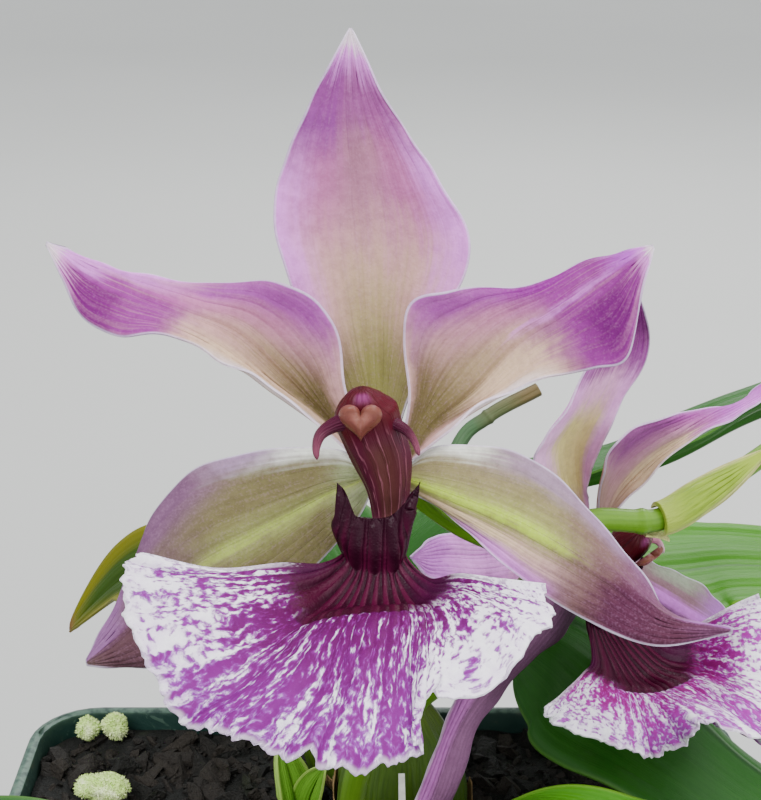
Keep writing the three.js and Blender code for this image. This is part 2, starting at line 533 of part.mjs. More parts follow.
// Bracts wrap the stem between two places on it, widest at the foot, and end in a tip
const BRACT_THICK = 0.62;
const SHEATH = { from: 0.668, to: 0.81, belly: 0.2, flare: 0, wrap: 4, facing: point([0, -0.8, 0.6]) };
const SMALL_BRACT = {
  from: 0.655, to: 0.685, belly: 0, flare: 2.4, wrap: 1.3, facing: point([0, 0.45, -0.89]),
};

function bractSurface({ from, to, belly, flare, wrap, facing }) {
  const clear = 0.5;
  return (u, v) => {
    const t = lerp(from, to, u);
    const centre = spline(STEM_PATH, t);
    const ahead = spline(STEM_PATH, t + 0.005).sub(spline(STEM_PATH, t - 0.005)).normalize();
    const side = new THREE.Vector3().crossVectors(ahead, facing).normalize();
    const out = new THREE.Vector3().crossVectors(side, ahead);
    const bulge = belly * Math.sin(Math.PI * (0.12 + 0.88 * u)) ** 0.8 + flare * u * u;
    const radius = stemRadius(t) + clear + bulge;
    const angle = (v - 0.5) * lerp(wrap, 0.4, u * u);
    return centre
      .addScaledVector(out, radius * Math.cos(angle))
      .addScaledVector(side, radius * Math.sin(angle));
  };
}

/** A bud: an egg with three seams, along a short straight path. */
function budGeometry(foot, tip, radius) {
  const [a, b] = [point(foot), point(tip)];
  const profile = (t) => radius * (0.3 + 0.7 * Math.sin(Math.PI * Math.min(1, 0.16 + 0.8 * t)) ** 0.8);
  return tube([a, a.clone().lerp(b, 0.5), b], profile, 8, 12);
}

// Leaves: a midrib path, the way the upper face looks along it, and the greatest half width

const LEAVES = [
  {
    name: "leaf_right_broad", half: 20, fold: -0.42,
    faces: [[0.2, -0.5, 0.85], [0.31, -0.44, 0.85], [0.35, -0.05, 0.94], [0.4, 0, 0.92]],
    path: [
      [5, 15.5, 126.8], [10, 16.5, 137], [18.2, 19.6, 140], [28.3, 17.6, 138.4], [37.1, 14.4, 132.8],
      [46, 11, 126], [56, 8.5, 118], [80, 4, 104], [104, -2, 88], [126, -8, 70],
    ],
  },
  {
    name: "leaf_right_bright", half: 16, fold: 0.04,
    faces: [[0, -0.3, 0.9], [0, -0.05, 1], [0.3, 0, 0.95]],
    path: [
      [5, 18.5, 126.8], [10, 30, 132], [24, 46, 130], [50, 56, 128], [64, 57.5, 128.3],
      [95, 61, 123], [130, 64, 107], [155, 65, 84],
    ],
  },
  {
    name: "leaf_right_rising", half: 14, fold: 0.2,
    faces: [[-0.3, -0.3, 0.9], [0, 0.34, 0.94], [0.2, 0.2, 0.95]],
    path: [
      [2, 19.2, 126.8], [3, 27, 141], [18, 36, 149], [42, 39, 155], [59, 43, 162], [85, 48, 168],
      [115, 54, 165], [140, 60, 150],
    ],
  },
  {
    name: "leaf_left_old", half: 11, fold: 0.3,
    faces: [[0.3, -0.7, 0.6], [-0.3, -0.5, 0.8], [-0.5, -0.3, 0.8]],
    path: [
      [-6.4, 37.2, 119.5], [-14, 38, 128.5], [-26, 44, 131.5],
      [-36, 58, 127], [-44.5, 66, 122], [-56, 70, 109.5],
    ],
  },
  {
    name: "leaf_back_left", half: 15, fold: 0.26,
    faces: [[0, -0.8, 0.6], [0, -0.2, 1], [-0.1, 0.4, 0.9]],
    path: [[-4.6, 40, 119.5], [-8, 48, 127], [-18, 75, 126], [-30, 108, 112], [-38, 136, 90]],
  },
  {
    name: "leaf_back_right", half: 15, fold: 0.26,
    faces: [[0, -0.8, 0.6], [0.1, -0.1, 1], [0.2, 0.4, 0.9]],
    path: [[-1.8, 38.8, 119.5], [14, 50, 121.5], [36, 80, 117.5], [60, 110, 104], [82, 136, 84]],
  },
  {
    name: "leaf_front", half: 18, fold: 0.24,
    faces: [[0, 0.6, 0.8], [0.1, 0, 1], [0.2, -0.4, 0.9]],
    path: [
      [12.4, -11, 123.8], [18, -24, 130], [28, -46, 136],
      [42, -76, 132], [54, -106, 115], [62, -132, 91],
    ],
  },
  {
    name: "leaf_front_left", half: 17, fold: 0.24,
    faces: [[0.4, 0.4, 0.8], [0, 0, 1], [-0.3, -0.3, 0.9]],
    path: [
      [-14.4, -24, 120.8], [-24, -36, 130], [-44, -56, 136], [-70, -80, 128], [-94, -102, 108],
      [-112, -118, 84],
    ],
  },
  {
    name: "leaf_right_low", half: 16, fold: 0.22,
    faces: [[-0.5, 0.3, 0.8], [0.1, 0, 1], [0.4, -0.1, 0.9]],
    path: [
      [14.6, -8.4, 123.8], [22, -12.5, 125.5], [38, -23, 123], [66, -38, 125], [96, -50, 118],
      [122, -62, 102], [140, -70, 82],
    ],
  },
  {
    name: "leaf_left_low", half: 16, fold: 0.22,
    faces: [[0.5, 0, 0.8], [0, 0, 1], [-0.4, 0, 0.9]],
    path: [
      [-16.4, -21.4, 120.8], [-28, -23, 122.5], [-50, -28, 125], [-82, -34, 121], [-112, -41, 105],
      [-134, -47, 82],
    ],
  },
];

function leafHalfWidth(leaf, t) {
  const footShare = 0.05;
  const opening = lerp(footShare, 1, THREE.MathUtils.smoothstep(t, 0.04, 0.42));
  return 0.35 + leaf.half * opening * Math.max(0, 1 - t ** 3.2) ** 0.75;
}

/** A leaf blade: it folds along its midrib and has pleats that run from foot to tip. */
function leafSurface(leaf) {
  const path = leaf.path.map(point);
  const faces = leaf.faces.map(point);
  const pleatDeep = 0.45;
  const footFold = 0.9;
  return (u, v) => {
    const w = 2 * v - 1;
    const ahead = spline(path, Math.min(u + 0.01, 1)).sub(spline(path, Math.max(u - 0.01, 0))).normalize();
    const side = new THREE.Vector3().crossVectors(ahead, spline(faces, u)).normalize();
    const up = new THREE.Vector3().crossVectors(side, ahead);
    const half = leafHalfWidth(leaf, u);
    const foot = 1 - THREE.MathUtils.smoothstep(u, 0.02, 0.25);
    const fold = lerp(leaf.fold, footFold, foot);
    const across = (half * w) / Math.hypot(1, fold);
    const pleat = -pleatDeep * Math.cos(3 * Math.PI * w) * (1 - foot) * Math.min(1, half / 8);
    const rise = fold * Math.abs(across) + pleat;
    return spline(path, u).addScaledVector(side, across).addScaledVector(up, rise);
  };
}

// Young shoot: a collar that stands in the mix, with short leaves that grow out of it

const SHOOT_PATH = [[-12.4, 25, 87], [-12.4, 25, 94], [-12.4, 25, 102]].map(point);
const shootRadius = (t) => lerp(3, 2, t);
const SHOOT_LEAVES = [
  { half: 3.4, fold: 0.3, faces: [[0.6, -0.6, 0.5], [0.5, -0.7, 0.5]],
    path: [[-12.8, 25.2, 98], [-13.7, 25.8, 105], [-15.6, 26.6, 112.5]] },
  { half: 3.2, fold: 0.3, faces: [[-0.6, -0.6, 0.5], [-0.5, -0.7, 0.5]],
    path: [[-11.8, 24.8, 98], [-10.8, 24, 104.5], [-8.8, 23, 110.5]] },
  { half: 3, fold: 0.3, faces: [[0, 0.8, 0.6], [0, 0.6, 0.8]],
    path: [[-12.3, 24.4, 98], [-11.9, 22, 103], [-11, 18.6, 107]] },
  { half: 3, fold: 0.3, faces: [[0, -0.8, 0.6], [0, -0.6, 0.8]],
    path: [[-12.6, 25.6, 98], [-13.6, 28.6, 104], [-16, 33, 108.5]] },
];

function youngShootGeometry() {
  let solid = toSolid(tube(SHOOT_PATH, shootRadius, 3, 10));
  for (const leaf of SHOOT_LEAVES) {
    solid = solid.add(toSolid(blade(leafSurface(leaf), 5, 2, () => LEAF_THICK)));
  }
  return fromSolid(solid);
}

// Potting mix, pumice, label and old spike

const LABEL = { x: 3, y: 1.1, wide: 9, thick: 0.9, top: 120.6, foot: 70, point: 10 };
const OLD_SPIKE = [
  [8, 47, 86], [7.4, 50, 104], [5.6, 58.5, 122], [13, 74, 142], [19, 78, 147.5], [28, 80, 152],
].map(point);
const spikeRadius = (t) => lerp(1.5, 1.2, t);
const LUMPS = [
  { name: "pumice_back", x: -45.8, y: 54, size: [2.2, 2.1, 2.1] },
  { name: "pumice_corner", x: -50.5, y: 53.7, size: [1.9, 1.8, 1.9] },
  { name: "pumice_large", x: -44.8, y: 34.5, size: [4.2, 2.9, 2.2] },
  { name: "pumice_front", x: 34, y: -44, size: [4.2, 3.4, 2.4] },
];

function labelGeometry(grow) {
  const half = LABEL.wide / 2 + grow;
  const depth = LABEL.thick + 2 * grow;
  const shape = new THREE.Shape();
  shape.moveTo(-half, LABEL.top);
  shape.lineTo(-half, LABEL.foot + LABEL.point);
  shape.lineTo(0, LABEL.foot - 3 * grow);
  shape.lineTo(half, LABEL.foot + LABEL.point);
  shape.lineTo(half, LABEL.top);
  const geometry = new THREE.ExtrudeGeometry(shape, { depth, bevelEnabled: false });
  geometry.translate(0, 0, -depth / 2).rotateX(Math.PI / 2).rotateZ(Math.PI / 2);
  return geometry.translate(LABEL.x, LABEL.y, 0);
}

function lumpGeometry(lump) {
  const round = new THREE.IcosahedronGeometry(1, 1).deleteAttribute("uv").deleteAttribute("normal");
  const geometry = mergeVertices(round);
  geometry.scale(...lump.size).translate(lump.x, lump.y, MIX_TOP + GAP + lump.size[2]);
  return geometry;
}

/** Places for bark chips: a seeded draw, clear of whatever stands or lies on the mix. */
function chipPlaces() {
  const random = seededRandom(41);
  const chipApart = 8;
  const keepClear = [
    ...BULBS.map((b) => [b.x, b.y, b.radius + 4]), ...LUMPS.map((l) => [l.x, l.y, l.size[0] + 4.6]),
    ...[STEM_PATH[0], OLD_SPIKE[0], SHOOT_PATH[0]].map((p) => [p.x, p.y, 8]),
    [LABEL.x, LABEL.y, LABEL.wide],
  ];
  const reach = RIM_HALF - POT_WALL - 6;
  const places = [];
  for (let tries = 0; tries < 4000 && places.length < CHIP_COUNT; tries++) {
    const [x, y] = [(random() * 2 - 1) * reach, (random() * 2 - 1) * reach];
    const free = keepClear.every(([cx, cy, r]) => Math.hypot(x - cx, y - cy) > r);
    const apart = places.every((p) => Math.hypot(x - p.x, y - p.y) > chipApart);
    const offCorner = Math.abs(x) + Math.abs(y) < 1.86 * reach;
    if (free && apart && offCorner) places.push({ x, y, draw: Array.from({ length: 6 }, random) });
  }
  return places;
}

function chipSolid({ x, y, draw }) {
  const chip = new THREE.CylinderGeometry(0.8, 1, 1, 5, 1);
  chip.scale(lerp(2.6, 4.8, draw[0]), lerp(3.4, 5, draw[1]), lerp(2.2, 3.4, draw[2]));
  chip.rotateX(Math.PI / 2 + (draw[3] - 0.5) * 0.9);
  chip.rotateZ(draw[4] * Math.PI * 2).translate(x, y, MIX_TOP + lerp(-0.8, 0, draw[5]));
  return toSolid(chip);
}

/** The hole that a stem stands in: a little wider than the stem and a little deeper. */
function holeSolid(path, radius) {
  const below = path[0].clone().sub(path[1]).setLength(2 * GAP).add(path[0]);
  return toSolid(tube([below, ...path.slice(1, 3)], () => radius + GAP, 6, 12));
}

function potMixGeometry() {
  const half = (z) => potHalfAt(z) - POT_WALL - GAP - 0.1;
  const foot = POT_FLOOR + GAP;
  const rimFoot = POT_HEIGHT - RIM_TALL;
  const rimHalf = RIM_HALF - POT_WALL - GAP - 0.1;
  const corner = POT_CORNER - POT_WALL;
  let solid = toSolid(loft([
    squareRing(half(foot), foot, corner), squareRing(half(rimFoot), rimFoot - 0.1, corner),
    squareRing(rimHalf, rimFoot + 2.6, POT_CORNER), squareRing(rimHalf, MIX_TOP, POT_CORNER),
  ]));
  for (const place of chipPlaces()) solid = solid.add(chipSolid(place));
  solid = solid.subtract(rhizomeSolid(RHIZOME_RADIUS + GAP));
  for (const bulb of BULBS) solid = solid.subtract(toSolid(loft(bulbRings(bulb, GAP))));
  solid = solid.subtract(holeSolid(STEM_PATH, stemRadius(0)));
  solid = solid.subtract(holeSolid(OLD_SPIKE, spikeRadius(0)));
  solid = solid.subtract(holeSolid(SHOOT_PATH, shootRadius(0)));
  solid = solid.subtract(toSolid(labelGeometry(GAP)));
  return fromSolid(solid);
}

// Assembly

addMesh("pot", potGeometry(), "pot");
addMesh("potting_mix", potMixGeometry(), "mix");
for (const lump of LUMPS) addMesh(lump.name, lumpGeometry(lump), "pumice");
addMesh("plant_label", labelGeometry(0), "label");
addMesh("rhizome", fromSolid(rhizomeSolid(RHIZOME_RADIUS)), "rhizome");
for (const bulb of BULBS) addMesh(bulb.name, loft(bulbRings(bulb)), "bulb");
for (const leaf of LEAVES) {
  const colour = leaf.name === "leaf_left_old" ? "oldLeaf" : "leaf";
  addMesh(leaf.name, blade(leafSurface(leaf), 12, 6, () => LEAF_THICK), colour);
}
addMesh("young_shoot", youngShootGeometry(), "leaf");
addMesh("old_flower_spike", tube(OLD_SPIKE, spikeRadius, 14, 8), "spike");
addMesh("flower_stem", flowerStemGeometry(), "stem");
addMesh("bract_sheath", blade(bractSurface(SHEATH), 8, 8, () => BRACT_THICK), "bract");
addMesh("bract_small", blade(bractSurface(SMALL_BRACT), 5, 6, () => BRACT_THICK), "bract");
addMesh("bud_upper", budGeometry([82.4, 19.2, 194.4], [91, 23.5, 204], 4.2), "bud");
addMesh("bud_lower", budGeometry([77.2, 5.7, 192.5], [80, 0, 201], 3.6), "bud");
addBloom(BLOOM_A);
addBloom(BLOOM_B);

export default plant;
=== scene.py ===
"""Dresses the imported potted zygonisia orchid: blooms, leaves, stem, pseudobulbs, mix and pot.

Sizes are in millimetres until a mesh is made, and every mesh is in metres in the part's frame.
"""

import functools
import logging
import math
from dataclasses import dataclass, field
from enum import Enum

import bmesh
import bpy
import numpy as np
from mathutils import Matrix, Vector, noise


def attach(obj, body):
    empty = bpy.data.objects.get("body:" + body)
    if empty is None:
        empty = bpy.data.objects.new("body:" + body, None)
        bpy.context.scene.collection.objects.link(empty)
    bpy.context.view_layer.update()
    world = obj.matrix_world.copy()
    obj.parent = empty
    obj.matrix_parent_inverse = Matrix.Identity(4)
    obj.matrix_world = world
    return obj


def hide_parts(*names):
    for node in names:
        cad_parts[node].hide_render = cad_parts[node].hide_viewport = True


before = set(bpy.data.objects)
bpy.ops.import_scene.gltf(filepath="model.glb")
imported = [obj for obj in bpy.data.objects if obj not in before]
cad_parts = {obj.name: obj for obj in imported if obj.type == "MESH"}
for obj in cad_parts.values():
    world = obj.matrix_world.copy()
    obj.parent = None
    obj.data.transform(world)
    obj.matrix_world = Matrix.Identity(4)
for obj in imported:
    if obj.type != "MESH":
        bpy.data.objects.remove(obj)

LOG = logging.getLogger("orchid")
MM = 0.001
BODY = "root"
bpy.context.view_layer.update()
LEAN = math.radians(20)

# Driving sizes, the same as the part's
POT_HEIGHT = 100.0
RIM_HALF = 60.0
RIM_TALL = 8.0
RIM_FOOT = POT_HEIGHT - RIM_TALL
POT_TOP_HALF = 57.4
POT_FOOT_HALF = 44.0
POT_WALL = 2.2
POT_FLOOR = 3.0
POT_CORNER = 9.0
DRAIN_RADIUS = 5.0
DRAIN_OUT = 26.0
MIX_TOP = 97.0
GAP = 0.3
RHIZOME_RADIUS = 3.4
RHIZOME_Z = MIX_TOP - 2
STEM_RADIUS = 1.6
TEPAL_THICK = 0.7
LIP_THICK = 0.66
CALLUS_THICK = 1.3
LEAF_THICK = 0.8

# The margin distance, in millimetres, of a skin that has no margin
INSIDE = 9.0

Colour = tuple[float, float, float, float]
Point = tuple[float, float, float]


def rgb(red: float, green: float, blue: float) -> Colour:
    """Turns a colour as the eye reads it, 0 to 255, into the linear one that a shader takes."""
    parts = [((c / 255 + 0.055) / 1.055) ** 2.4 if c > 10 else c / 3294 for c in (red, green, blue)]
    return (*parts, 1.0)


def dimmed(colour: Colour, share: float) -> Colour:
    """Gives a darker form of a linear colour."""
    return (*(part * share for part in colour[:3]), 1.0)


# Curves and sheets in numpy


def weights(count: int, t: np.ndarray) -> np.ndarray:
    """Gives the share of each control point on a smooth curve.

    Args:
        count: how many control points the curve passes through.
        t: the places along the curve, 0 to 1.

    Returns:
        One row for each place and one column for each control point.
    """
    last = count - 1
    at = np.clip(np.floor(t * last).astype(int), 0, last - 1)
    w = t * last - at
    shares = np.zeros((len(t), count + 2))
    rows = np.arange(len(t))
    shares[rows, at] = 0.5 * (-w + 2 * w**2 - w**3)
    shares[rows, at + 1] = 0.5 * (2 - 5 * w**2 + 3 * w**3)
    shares[rows, at + 2] = 0.5 * (w + 4 * w**2 - 3 * w**3)
    shares[rows, at + 3] = 0.5 * (-(w**2) + w**3)
    inner = shares[:, 1:-1].copy()
    inner[:, 0] += 2 * shares[:, 0]
    inner[:, 1] -= shares[:, 0]
    inner[:, -1] += 2 * shares[:, -1]
    inner[:, -2] -= shares[:, -1]
    return inner


def curve(points: np.ndarray | tuple, t: np.ndarray) -> np.ndarray:
    """Samples a smooth curve through points at places t."""
    return weights(len(points), t) @ np.asarray(points, float)


def ease(low: float, high: float, x: np.ndarray) -> np.ndarray:
    """A smooth step from 0 at low to 1 at high."""
    t = np.clip((x - low) / (high - low), 0, 1)
    return t * t * (3 - 2 * t)


def unit(vectors: np.ndarray) -> np.ndarray:
    """Scales each vector to length 1."""
    return vectors / np.maximum(np.linalg.norm(vectors, axis=-1, keepdims=True), 1e-9)


def hump(x: np.ndarray | float, wide: float) -> np.ndarray:
    """A soft hump of height 1 about 0."""
    return np.exp(-((x / wide) ** 2))


def angles(sides: int) -> np.ndarray:
    """Evenly spaced angles, once round."""
    return 2 * np.pi * np.arange(sides) / sides


def walked(points: np.ndarray, axis: int = 0) -> np.ndarray:
    """The distance walked through points along one axis, from 0 at its start."""
    steps = np.linalg.norm(np.diff(points, axis=axis), axis=-1)
    return np.insert(np.cumsum(steps, axis=axis), 0, 0, axis=axis)


def sheet_normal(grid: np.ndarray) -> np.ndarray:
    """The way that a surface faces at each of its grid points."""
    return unit(np.cross(np.gradient(grid, axis=0), np.gradient(grid, axis=1)))


def thinned(edge: np.ndarray, reach: float) -> np.ndarray:
    """The share of its thickness that a petal keeps at a distance from its margin."""
    return 0.35 + 0.65 * ease(0, reach, edge)


def lump_noise(points: np.ndarray, scale: float, seed: float = 0.0) -> np.ndarray:
    """A smooth noise about 0 at each point, with bumps about 1 / scale millimetres wide."""
    flat = points.reshape(-1, 3) * scale + seed
    return np.array([noise.noise(Vector(p)) for p in flat]).reshape(points.shape[:-1])


def moved(points: np.ndarray, matrix: Matrix) -> np.ndarray:
    """Applies a matrix to points."""
    flat = np.concatenate([points.reshape(-1, 3), np.ones((points.size // 3, 1))], axis=1)
    return (flat @ np.array(matrix).T)[:, :3].reshape(points.shape)


def ripple(t: np.ndarray, seed: int, pitches: tuple[float, ...]) -> np.ndarray:
    """A sum of sines with seeded phases, for margins that wave in no strict beat."""
    rng = np.random.default_rng(seed)
    total = np.zeros_like(t)
    for pitch in pitches:
        height = math.cos(rng.uniform(-0.6, 0.6)) / pitch**0.5
        total += height * np.sin(2 * np.pi * (pitch * t + rng.uniform()))
    return total


def make_object(name: str, data: bpy.types.ID) -> bpy.types.Object:
    """Links a mesh, a light or a camera into the scene as an object at the origin."""
    made = bpy.data.objects.new(name, data)
    bpy.context.scene.collection.objects.link(made)
    return made


def made_from(name: str, body: bmesh.types.BMesh) -> bpy.types.Object:
    """Makes an object of a finished bmesh, and frees it."""
    mesh = bpy.data.meshes.new(name)
    body.to_mesh(mesh)
    body.free()
    return make_object(name, mesh)


def mark_points(mesh: bpy.types.Mesh, name: str, values: np.ndarray) -> None:
    """Stores one value for each of a mesh's points."""
    layer = mesh.attributes.new(name, "FLOAT", "POINT")
    layer.data.foreach_set("value", values.astype(np.float32))


@dataclass
class Skin:
    """Vertices, faces and surface coordinates that grow piece by piece into one mesh.

    Attributes:
        name: the name of the finished object.
        place: the matrix from the piece's own millimetres to the part's.
        blocks: for each block added, its points, coordinates, margin distances, faces and smoothness.
    """

    name: str
    place: Matrix = field(default_factory=Matrix)
    blocks: list[tuple[np.ndarray, ...]] = field(default_factory=list)

    def add(self, points: np.ndarray, coords: np.ndarray, edge: np.ndarray, faces: np.ndarray,
            smooth: np.ndarray) -> None:
        """Adds a block of vertices with its faces.

        Args:
            points: one row of x, y and z for each vertex.
            coords: one row of surface coordinates for each vertex.
            edge: the distance of each vertex from the margin, in millimetres.
            faces: four vertex numbers for each face, counted in this block.
            smooth: whether each face is shaded smooth.
        """
        before = sum(len(block[0]) for block in self.blocks)
        self.blocks.append((points, coords, edge, faces + before, smooth))

    def add_sheet(self, grid: np.ndarray, thick: np.ndarray, edge: np.ndarray) -> None:
        """Adds a thin closed blade round a middle surface.

        Args:
            grid: the middle surface, rows along its length and columns across it.
            thick: the thickness at each grid point.
            edge: the distance of each grid point from the margin.
        """
        rows, columns = grid.shape[:2]
        half = sheet_normal(grid) * thick[..., None] / 2
        points = np.concatenate([(grid + half).reshape(-1, 3), (grid - half).reshape(-1, 3)])
        u, v = np.meshgrid(np.linspace(0, 1, rows), np.linspace(0, 1, columns), indexing="ij")
        coords = np.tile(np.stack([u.ravel(), v.ravel()], axis=1), (2, 1))
        ids = np.arange(rows * columns).reshape(rows, columns)
        a, b, c, d = ids[:-1, :-1], ids[1:, :-1], ids[1:, 1:], ids[:-1, 1:]
        top = np.stack([a, b, c, d], axis=-1).reshape(-1, 4)
        under = np.stack([a, d, c, b], axis=-1).reshape(-1, 4) + rows * columns
        loop = np.concatenate([ids[:-1, 0], ids[-1, :-1], ids[:0:-1, -1], ids[0, :0:-1]])
        after = np.roll(loop, -1)
        wall = np.stack([loop, loop + rows * columns, after + rows * columns, after], axis=-1)
        smooth = np.concatenate([np.ones(len(top) * 2, bool), np.zeros(len(wall), bool)])
        self.add(points, coords, np.tile(edge.ravel(), 2), np.concatenate([top, under, wall]), smooth)

    def add_rings(self, rings: np.ndarray, edge: float | np.ndarray = INSIDE) -> None:
        """Adds a closed skin through rings of points, drawn in to a pole at both ends.

        Args:
            rings: steps, then sides, then x, y and z; the rings turn with the sweep.
            edge: the margin distance of all of its vertices, or of each, with the poles last.
        """
        steps, sides = rings.shape[:2]
        poles = [rings[0].mean(axis=0, keepdims=True), rings[-1].mean(axis=0, keepdims=True)]
        points = np.concatenate([rings.reshape(-1, 3), *poles])
        u, v = np.meshgrid(np.linspace(0, 1, steps), np.arange(sides) / sides, indexing="ij")
        coords = np.concatenate([np.stack([u.ravel(), v.ravel()], axis=1), [[0, 0.5], [1, 0.5]]])
        ids = np.arange(steps * sides).reshape(steps, sides)
        after = np.roll(ids, -1, axis=1)
        side = np.stack([ids[:-1], after[:-1], after[1:], ids[1:]], axis=-1).reshape(-1, 4)
        first, final = np.full(sides, steps * sides), np.full(sides, steps * sides + 1)
        foot = np.stack([ids[0], first, first, after[0]], axis=-1)
        head = np.stack([ids[-1], after[-1], final, final], axis=-1)
        faces = np.concatenate([side, foot, head])
        self.add(points, coords, np.full(len(points), edge), faces, np.ones(len(faces), bool))

    def add_tube(self, path: np.ndarray | tuple, t: np.ndarray, radius: np.ndarray, sides: int,
                 front: Point = (0, -1, 0), edge: float = INSIDE) -> None:
        """Adds a closed tube along a smooth curve.

        Args:
            path: the points that the curve passes through.
            t: the places along it, 0 to 1.
            radius: the radius at each place, or at each place and side.
            sides: how many points are in a section.
            front: the way that the first side's quarter faces.
            edge: the margin distance that all of its vertices carry.
        """
        self.add_rings(tube_rings(curve(path, t), radius, sides, front=front), edge)

    def finish(self, material: bpy.types.Material) -> bpy.types.Object:
        """Makes the object, with its surface coordinates and margin distances."""
        points, coords, edges, faces, smooth = (np.concatenate(parts) for parts in zip(*self.blocks))
        mesh = bpy.data.meshes.new(self.name)
        faces = [list(dict.fromkeys(face)) for face in faces.tolist()]
        mesh.from_pydata((moved(points, self.place) * MM).tolist(), [], faces)
        mesh.polygons.foreach_set("use_smooth", smooth)
        corner = np.empty(len(mesh.loops), np.int32)
        mesh.loops.foreach_get("vertex_index", corner)
        layer = mesh.uv_layers.new(name="blade")
        layer.data.foreach_set("uv", coords[corner].astype(np.float32).ravel())
        mark_points(mesh, "edge", edges)
        mesh.materials.append(material)
        mesh.validate()
        mesh.update()
        return make_object(self.name, mesh)


def tube_rings(path: np.ndarray, radius: np.ndarray, sides: int, flat: np.ndarray | None = None,
               front: Point = (0, -1, 0)) -> np.ndarray:
    """Sweeps a round or oval section along a path.

    Args:
        path: the middle of the section at each step.
        radius: the half width at each step, or at each step and side.
        sides: how many points are in a section.
        flat: the half depth over the half width at each step.
        front: the way that the section's depth faces.

    Returns:
        Rings of points: steps, sides, and x, y and z.
    """
    ahead = unit(np.gradient(path, axis=0))
    across = unit(np.cross(np.broadcast_to(front, ahead.shape), ahead))
    out = np.cross(ahead, across)
    angle = angles(sides)
    radius = radius if radius.ndim == 2 else radius[:, None]
    depth = radius if flat is None else radius * flat[:, None]
    return (path[:, None] + across[:, None] * (np.cos(angle) * radius)[..., None]
            + out[:, None] * (np.sin(angle) * depth)[..., None])


# Shader maths


class Wire:
    """A socket that takes part in Python expressions; each operator adds its Math node."""

    def __init__(self, book: "NodeTree", socket: bpy.types.NodeSocket) -> None:
        """Wraps a socket of a tree."""
        self.book = book
        self.socket = socket

    def math(self, operation: str, first: "Wire | float", second: "Wire | float" = 0.0) -> "Wire":
        """Adds a Math node for one operation."""
        return self.book.wire("ShaderNodeMath", {"operation": operation}, {0: first, 1: second})

    def __add__(self, other: "Wire | float") -> "Wire":
        """Adds."""
        return self.math("ADD", self, other)

    def __sub__(self, other: "Wire | float") -> "Wire":
        """Subtracts."""
        return self.math("SUBTRACT", self, other)

    def __rsub__(self, other: float) -> "Wire":
        """Subtracts from a number."""
        return self.math("SUBTRACT", other, self)

    def __mul__(self, other: "Wire | float") -> "Wire":
        """Multiplies."""
        return self.math("MULTIPLY", self, other)

    def __abs__(self) -> "Wire":
        """Takes the size without the sign."""
        return self.math("ABSOLUTE", self)

    def sine(self) -> "Wire":
        """The sine of the value."""
        return self.math("SINE", self)

    def beat(self) -> "Wire":
        """The sine of the value, moved to lie between 0 and 1."""
        return self.sine() * 0.5 + 0.5

    def ease(self, low: float, high: float) -> "Wire":
        """A smooth step from 0 at low to 1 at high, which may run downward."""
        if low > high:
            return 1 - self.ease(high, low)
        settings = {"interpolation_type": "SMOOTHSTEP"}
        return self.book.wire("ShaderNodeMapRange", settings, {0: self, 1: low, 2: high, 3: 0.0, 4: 1.0})


class NodeTree:
    """The one way that a node is added to a material's or a geometry tree."""

    def __init__(self, tree: bpy.types.NodeTree) -> None:
        """Takes an empty tree."""
        self.tree = tree

    def node(self, kind: str, settings: dict | None = None, inputs: dict | None = None) -> bpy.types.Node:
        """Adds a node.

        Args:
            kind: the node's type.
            settings: its properties, set first; stops are a ramp's places and colours.
            inputs: a value or a Wire for each socket, by name or number.

        Returns:
            The new node.
        """
        made = self.tree.nodes.new(kind)
        for key, value in (settings or {}).items():
            if key == "stops":
                self._set_stops(made.color_ramp, value)
            else:
                setattr(made, key, value)
        for key, value in (inputs or {}).items():
            if isinstance(value, Wire):
                self.tree.links.new(value.socket, made.inputs[key])
            else:
                made.inputs[key].default_value = value
        return made

    @staticmethod
    def _set_stops(ramp: bpy.types.ColorRamp, stops: list[tuple[float, Colour]]) -> None:
        """Gives a colour ramp its stops."""
        while len(ramp.elements) < len(stops):
            ramp.elements.new(1.0)
        for element, (position, colour) in zip(ramp.elements, stops):
            element.position = position
            element.color = colour

    def wire(self, kind: str, settings: dict | None = None, inputs: dict | None = None,
             output: int | str = 0) -> Wire:
        """Adds a node and wraps one of its outputs."""
        return Wire(self, self.node(kind, settings, inputs).outputs[output])


